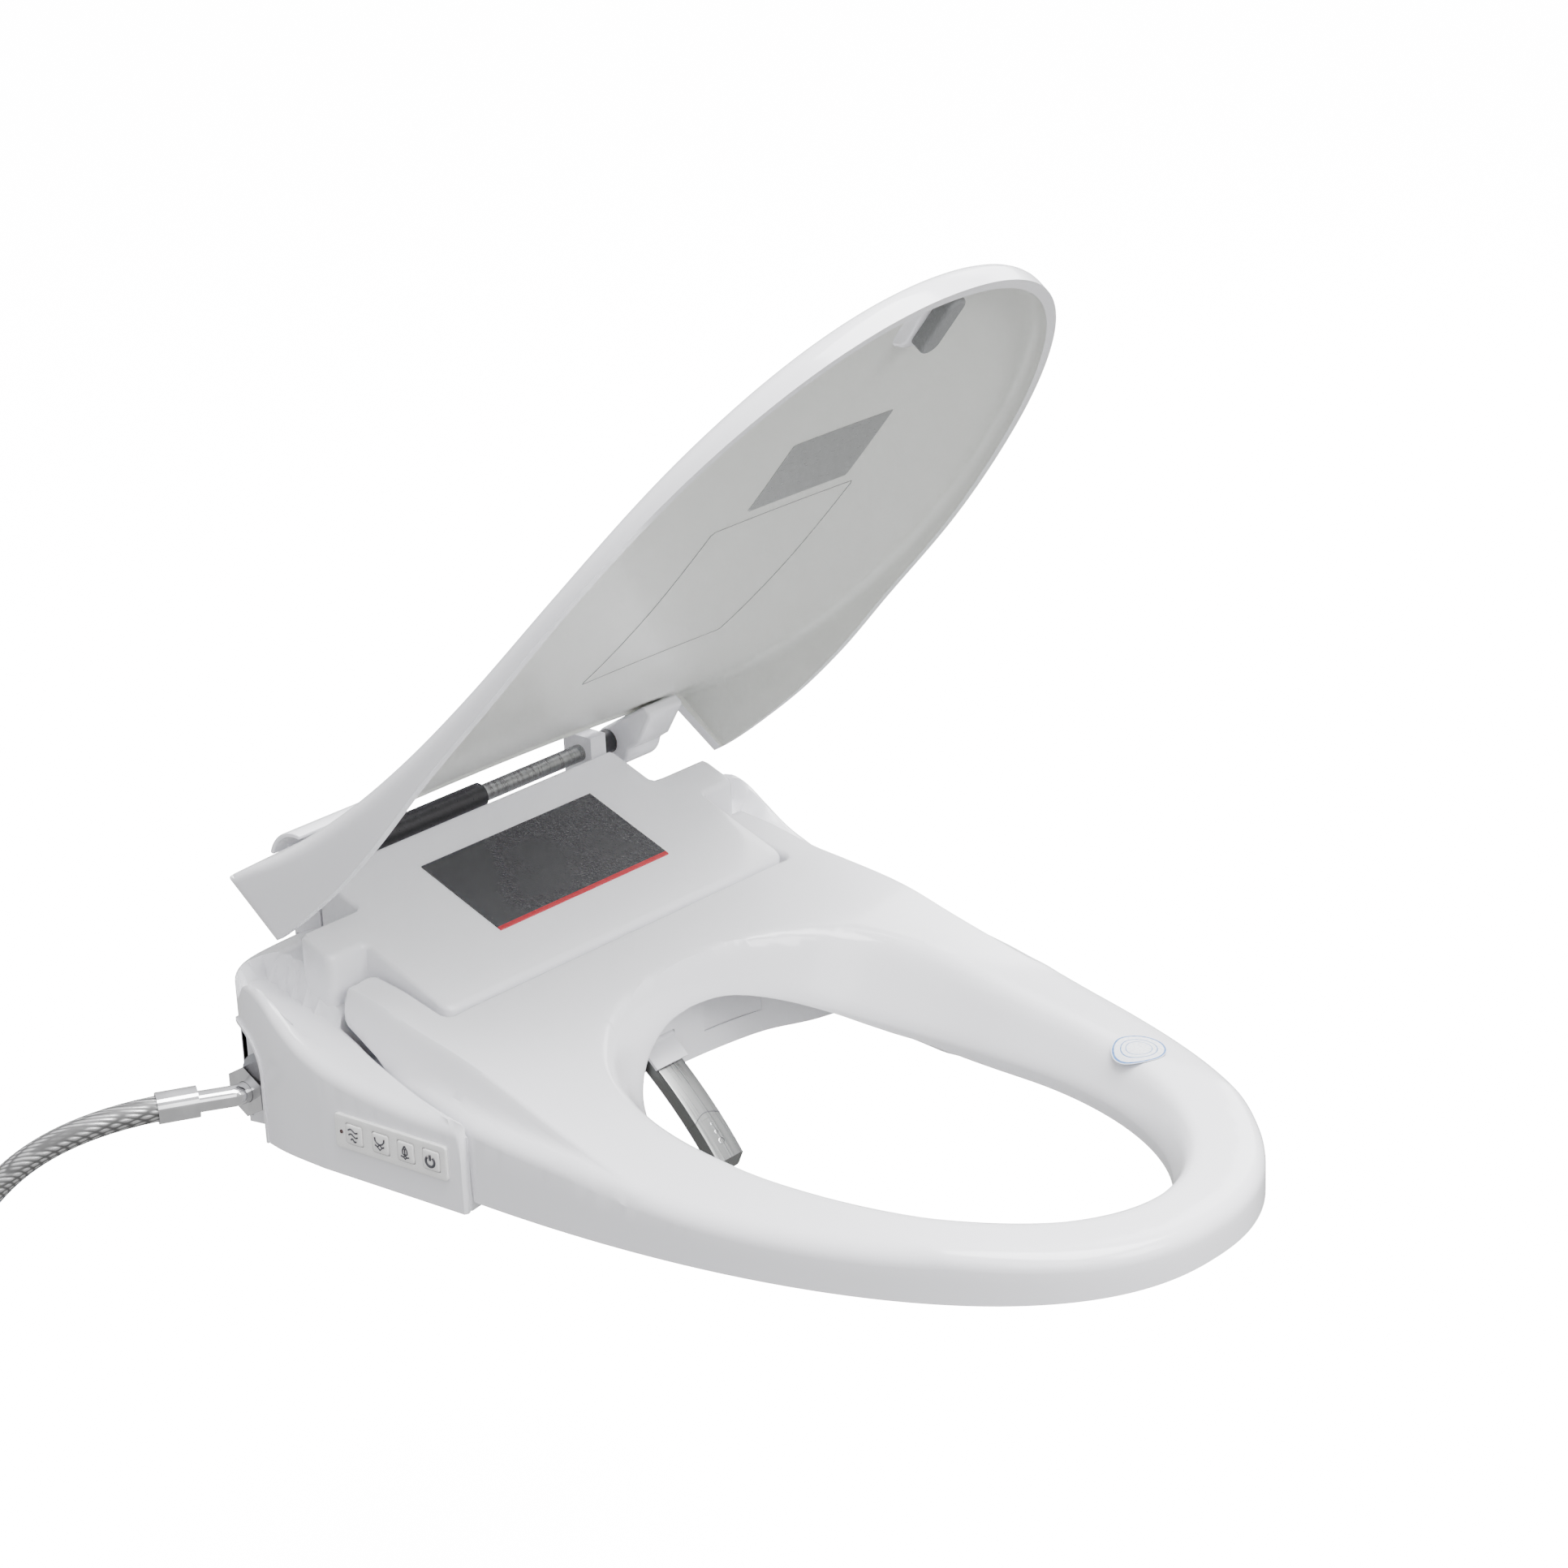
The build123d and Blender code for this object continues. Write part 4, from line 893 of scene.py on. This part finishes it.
def tongue_loop():
    half = [(131, -95.2), (131, -34.8), (157, -34.8), (157, -11.8), (114, -11.8), (114, 20)]
    radii = [7, 3, 5, 3, 3, 3]
    points = half + [(-x, y) for x, y in reversed(half)]
    return resample(round_corners(points, radii + radii[::-1]), 2.6)


def cut(obj, cutter, operation="DIFFERENCE"):
    """Cuts or keeps one mesh by another, and removes the cutter."""
    mod = obj.modifiers.new("cut", "BOOLEAN")
    mod.object, mod.operation, mod.solver = cutter, operation, "EXACT"
    deps = bpy.context.evaluated_depsgraph_get()
    mesh = bpy.data.meshes.new_from_object(obj.evaluated_get(deps))
    obj.modifiers.clear()
    obj.data = mesh
    bpy.data.objects.remove(cutter)
    mesh.set_sharp_from_angle(angle=radians(40))


def rect(y0, y1, z0, z1):
    return [(y0, z0), (y1, z0), (y1, z1), (y0, z1)]


def arch_profile(grow):
    """The water inlet's arched recess, seen from the side."""
    angles = [radians(w) for w in range(0, 181, 10)]
    top = [(12.2 + (22 + grow) * cos(w), 38 + (22 + grow) * sin(w)) for w in angles]
    return [(34.2 + grow, -6), *top, (-9.8 - grow, -6)]


WALL = 3.0
NOZZLE_HOLE_X, NOZZLE_HOLE_Z = (-16, 10), (-5, 22.6)
DRYER_HOLE_X, DRYER_HOLE_Z = (32, 72), (13, 35)


def make_housing():
    """Wings with the inlet's arch and lip, the recess wall, the front wall with its openings, the tongue."""
    wings = moulded("housing_wings", [wing_loop()], wing_top, flat_bottom(0), [8.0], WALL, WALL, [5.0], 5.0,
                    wing_round)
    cut(wings, prism_x("cutter", arch_profile(0), -260, -172, 0))
    dress(wings, "housing", "gloss_white", M["gloss_white"], M["white_plastic"], replaces=["top_cover"])
    lip = moulded("inlet_lip", [wing_loop(1.1)], lambda x, y: wing_top(x, y) + 1.0, flat_bottom(0.1), [8.0],
                  WALL, WALL, [5.0], 7.0, wing_round)
    cut(lip, prism_x("cutter", arch_profile(1.8), -260, -150, 0), "INTERSECT")
    cut(lip, prism_x("cutter", arch_profile(0.01), -270, -140, 0))
    dress(lip, "housing", "gloss_white", M["gloss_white"], M["white_plastic"])
    wall = prism_x("inlet_recess_wall", arch_profile(2.6)[:-1] + [(-12.4, 0.5)], -172, -169.5, 0)
    cut(wall, prism_x("cutter", [(60, -10), (60, 90), (24, 90), (24, -10)], -180, -160, 0))
    dress(wall, "housing", "white_plastic", M["white_plastic"])
    floor = moulded("housing_front", [floor_loop()], flat_bottom(43.5), flat_bottom(0), [2.0], WALL, WALL,
                    [1.0], 9.0)
    cut(floor, prism_x("cutter", rect(-140, -112, *NOZZLE_HOLE_Z), *NOZZLE_HOLE_X, 0))
    cut(floor, prism_x("cutter", rect(-140, -112, *DRYER_HOLE_Z), *DRYER_HOLE_X, 0))
    dress(floor, "housing", "gloss_white", M["gloss_white"], M["white_plastic"])
    tongue = moulded("housing_tongue", [tongue_loop()], lambda x, y: 114 + 0.37 * y, flat_bottom(38), [3.2],
                     WALL, WALL, [1.0], 8.0)
    dress(tongue, "housing", "gloss_white", M["gloss_white"], M["white_plastic"])


make_housing()


# ---------------------------------------------------------------- wash nozzle
NOZZLE_X, ARC_Y, ARC_Z = -3.0, 32.697, -188.511
NOZZLE_R0, NOZZLE_R1, NOZZLE_HALF = 245.5, 254.5, 10.0
NOZZLE_MID, NOZZLE_EDGE = 250, 1.1
A_IN, A_SEAM, A_TIP = 26.707, 47.334, 52.376
SEAM_GAP, TIP_EXTRA, TIP_SLANT = 0.02, 0.5, 5.0


def on_nozzle(x, r, a):
    """A point at radius r and a degrees along the nozzle's arc, in metres."""
    a = radians(a)
    return Vector((x * MM, (ARC_Y - r * sin(a)) * MM, (ARC_Z + r * cos(a)) * MM))


def nozzle_bar(name, a0, a1, node, slant=0.0):
    """A flat bar bent round the nozzle's arc, with small rounded edges."""
    hw, mid, ht, c = NOZZLE_HALF, (NOZZLE_R0 + NOZZLE_R1) / 2, (NOZZLE_R1 - NOZZLE_R0) / 2, NOZZLE_EDGE
    ring = []
    for sx, sr, w0 in ((1, 1, 0), (-1, 1, 90), (-1, -1, 180), (1, -1, 270)):
        for k in range(5):
            w = radians(w0 + 22.5 * k)
            ring.append((sx * (hw - c) + c * cos(w), sr * (ht - c) + c * sin(w)))
    n, rows = len(ring), max(3, int((a1 - a0) / 0.8))
    verts, faces = [], []
    for i in range(rows + 1):
        a = a0 + (a1 - a0) * i / rows
        lean = degrees(slant * (i / rows) ** 4 / NOZZLE_MID)
        verts += [on_nozzle(NOZZLE_X + x, mid + r, a + lean * (ht - r) / (2 * ht)) for x, r in ring]
    for i in range(rows):
        for j in range(n):
            k = (j + 1) % n
            faces.append((i * n + j, i * n + k, (i + 1) * n + k, (i + 1) * n + j))
    faces += [tuple(range(n)), tuple(range((rows + 1) * n - 1, rows * n - 1, -1))]
    mesh = smooth_mesh(name, verts, faces)
    work = bmesh.new()
    work.from_mesh(mesh)
    bmesh.ops.recalc_face_normals(work, faces=work.faces)
    # faces turned upwards keep the steel, all other faces get the darker copy as painted shade
    for face in work.faces:
        face.material_index = 0 if face.normal.z > 0.25 and abs(face.normal.x) < 0.6 else 1
    work.to_mesh(mesh)
    work.free()
    mesh.set_sharp_from_angle(angle=radians(30))
    dress(put(name, mesh), "nozzle", "steel", M["steel"], M["steel_dark"], replaces=[node])


def nozzle_disc(name, along_arc, radius):
    """A shallow dished spray hole on the tip's upper face, in bright chrome that stands for the highlight
    seen in the hole: painted highlight.
    """
    n = 24
    a = A_SEAM + degrees(along_arc / NOZZLE_MID)
    verts = [on_nozzle(NOZZLE_X + radius * cos(2 * pi * i / n), NOZZLE_R1 + 0.12,
                       a + degrees(radius * sin(2 * pi * i / n) / NOZZLE_MID)) for i in range(n)]
    obj = put(name, smooth_mesh(name, verts + [on_nozzle(NOZZLE_X, NOZZLE_R1 - radius * 0.4, a)],
                                [(i, (i + 1) % n, n) for i in range(n)]))
    thick = obj.modifiers.new("thick", "SOLIDIFY")
    thick.thickness, thick.offset = 0.2 * MM, 0
    dress(obj, "nozzle", "steel", M["chrome"])


nozzle_bar("wand_steel", A_IN, A_SEAM, "nozzle_wand")
nozzle_bar("wand_tip", A_SEAM + SEAM_GAP, A_TIP + TIP_EXTRA, "nozzle_tip", TIP_SLANT)
# the three spray holes, whose bright chrome is painted highlight
for name, at, size in (("spray_small", 3.6, 0.9), ("spray_middle", 8.6, 1.3), ("spray_main", 14.0, 2.0)):
    nozzle_disc(name, at, size)
seam = [(NOZZLE_X - 9.6 + 19.2 * i / 16, A_SEAM - degrees(3.2 * sin(pi * i / 16) / NOZZLE_MID))
        for i in range(17)]
line_print("wand_seam", [seam], lambda q: on_nozzle(q[0], NOZZLE_R1 + SEAM_GAP, q[1]), 0.2, "nozzle",
           M["print_dark"])


# ---------------------------------------------------------------- side panel
SIDE_SLOPE = (192.0 - 184.2) / (-57.0 + 155.0)
SIDE_LEN = sqrt(1 + SIDE_SLOPE ** 2)
PANEL_AXES = [Vector((SIDE_SLOPE, -1, 0)) / SIDE_LEN, Vector((0, 0, 1)),
              Vector((-1, -SIDE_SLOPE, 0)) / SIDE_LEN]
PANEL_AT = Vector((-192.0 + SIDE_SLOPE * 12.0, -69.0, 17.0)) * MM
PANEL = Matrix([[*[axis[i] for axis in PANEL_AXES], PANEL_AT[i]] for i in range(3)] + [[0, 0, 0, 1]])
PANEL_LEN, PANEL_HIGH, BUTTON_MID = 77, 19.5, 9.75
BUTTON_ROW = {"front_wash": 13.7, "rear_wash": 32.0, "massage": 49.4, "power": 66.7}


def make_panel():
    loops = [box_loop(0, PANEL_LEN, 0, PANEL_HIGH, 2.2, 1.0)]
    loops += [box_loop(c - 6.0, c + 6.0, 3.75, 15.75, 1.4, 0.8) for c in BUTTON_ROW.values()]
    plate = moulded("side_panel", loops, flat_bottom(1.8), flat_bottom(0.02),
                    [0.7] + [0.3] * 4, 0.6, 0.6, [0.1] * 5, 3.0)
    plate.data.transform(PANEL)
    dress(plate, "housing", "panel_white", M["panel_white"], M["panel_white"], replaces=["control_panel"])
    for name, c in BUTTON_ROW.items():
        cap = moulded(f"cap_{name}", [box_loop(c - 5.6, c + 5.6, 4.15, 15.35, 1.5, 0.8)],
                      lambda x, y, c=c: 2.6 - 0.012 * ((x - c) ** 2 + (y - BUTTON_MID) ** 2) * 0.6,
                      flat_bottom(-5.2), [0.8], 1.0, 1.0, [0.3], 2.0)
        cap.data.transform(PANEL)
        dress(cap, name, "panel_white", M["panel_white"], M["panel_white"], replaces=[f"button_{name}"])


def icon(name, strokes, body, width=0.5):
    """Printed lines on a button, drawn in panel millimetres."""
    line_print(name, strokes, lambda q: PANEL @ Vector((q[0] * MM, q[1] * MM, 2.5 * MM)), width, body,
               M["print_dark"])


def arc_line(cx, cy, r, a0, a1, n=14):
    return [(cx + r * cos(radians(a0 + (a1 - a0) * i / n)), cy + r * sin(radians(a0 + (a1 - a0) * i / n)))
            for i in range(n + 1)]


def make_icons():
    c = BUTTON_ROW["front_wash"]
    waves = [[(c - w + 2 * w * i / 16, y + 0.8 * sin(2 * pi * i / 16)) for i in range(17)]
             for y, w in ((7.0, 1.8), (9.6, 3.2), (12.3, 3.4))]
    icon("icon_waves", waves, "front_wash")
    c = BUTTON_ROW["rear_wash"]
    basin = [(-3.2, 13.2), (-3.0, 11.4), (-1.7, 10.0), (0, 9.5), (1.7, 10.0), (3.0, 11.4), (3.2, 13.2)]
    drop = [(0, 9.5), (-1.6, 8.0), (0, 6.4), (1.6, 8.0), (0, 9.5)]
    sides = [[(-3.2, 8.8), (-1.6, 8.0)], [(3.2, 8.8), (1.6, 8.0)]]
    icon("icon_front", [[(c + x, y) for x, y in line] for line in (basin, drop, *sides)], "rear_wash")
    c = BUTTON_ROW["massage"]
    leaf = [(0, 13.6), (-1.5, 11.0), (-1.6, 9.0), (0, 8.0), (1.6, 9.0), (1.5, 11.0), (0, 13.6)]
    stem = [(0, 12), (0, 8.2)]
    drop = [(0, 8.0), (-1.1, 7.0), (0, 6.0), (1.1, 7.0), (0, 8.0)]
    sides = [[(-2.9, 7.4), (-1.1, 7.0)], [(2.9, 7.4), (1.1, 7.0)]]
    icon("icon_rear", [[(c + x, y) for x, y in line] for line in (leaf, stem, drop, *sides)], "massage")
    c = BUTTON_ROW["power"]
    icon("icon_power", [arc_line(c, 9.3, 2.9, 125, 415), [(c, 10.0), (c, 13.2)]], "power", 0.8)


make_panel()
make_icons()


# ---------------------------------------------------------------- hose
HOSE = [(-224, 23.7, 25), (-268, 51, 24), (-320, 81, -13), (-345, 95, -90), (-352, 98, -190),
        (-345, 95, -330)]
HOSE_R = 7.0


def make_hose():
    curve = bpy.data.curves.new("braided_hose", "CURVE")
    curve.dimensions = "3D"
    spline = curve.splines.new("NURBS")
    spline.points.add(len(HOSE) - 1)
    for p, q in zip(spline.points, HOSE):
        p.co = (q[0] * MM, q[1] * MM, q[2] * MM, 1)
    spline.order_u = 3
    spline.use_endpoint_u = True
    curve.resolution_u = 24
    curve.bevel_depth, curve.bevel_resolution = HOSE_R * MM, 10
    curve.use_fill_caps = True
    obj = put("braided_hose", curve)
    dress(obj, "housing", "braid", M["braid"], replaces=["inlet_hose"])


make_hose()


# ---------------------------------------------------------------- stage
FLOOR_HALF, FLOOR_DROP, FLOOR_GLOW = 30, 0.01, 14.0
SKY_LOW, SKY_HIGH, SKY_STRENGTH = (0.42, 0.42, 0.42, 1), (1.0, 1.0, 1.03, 1), 1.75


def make_stage():
    mesh = bpy.data.meshes.new("floor")
    low = cad_box[0][2] - FLOOR_DROP
    s = FLOOR_HALF
    mesh.from_pydata([(-s, -s, low), (s, -s, low), (s, s, low), (-s, s, low)], [], [(0, 1, 2, 3)])
    floor = put("floor", mesh)
    mat, _, _, bsdf = material("floor_pale")
    bsdf.inputs["Base Color"].default_value = grey(0.9)
    bsdf.inputs["Roughness"].default_value = 0.9
    bsdf.inputs["Emission Color"].default_value = grey(1)
    bsdf.inputs["Emission Strength"].default_value = FLOOR_GLOW
    mesh.materials.append(mat)
    floor.visible_diffuse = False
    floor.visible_glossy = False


def area_light(name, place, size, power, target=(0, -0.2, 0.1)):
    light = bpy.data.lights.new(name, "AREA")
    light.shape, light.size, light.size_y, light.energy = "RECTANGLE", size[0], size[1], power
    obj = put(name, light)
    obj.location = place
    obj.rotation_euler = (Vector(target) - Vector(place)).to_track_quat("-Z", "Y").to_euler()


def make_sky():
    """An even studio surround, paler overhead."""
    world = bpy.data.worlds.new("studio")
    world.use_nodes = True
    nodes, links = world.node_tree.nodes, world.node_tree.links
    tex = nodes.new("ShaderNodeTexCoord")
    split = nodes.new("ShaderNodeSeparateXYZ")
    links.new(tex.outputs["Generated"], split.inputs["Vector"])
    tone = ramp(nodes, links, split.outputs["Z"], SKY_LOW, SKY_HIGH, 0.0, 0.9)
    links.new(tone, nodes["Background"].inputs["Color"])
    nodes["Background"].inputs["Strength"].default_value = SKY_STRENGTH
    bpy.context.scene.world = world


make_stage()
area_light("overhead", (0.3, -1.0, 2.6), (2.2, 1.8), 225)
area_light("front", (0.5, -3.0, 1.9), (1.4, 1.2), 60)
area_light("fill", (-1.6, -2.8, 1.6), (1.6, 1.6), 24)
area_light("edge", (2.6, 0.4, 1.6), (1.2, 1.6), 30)
make_sky()
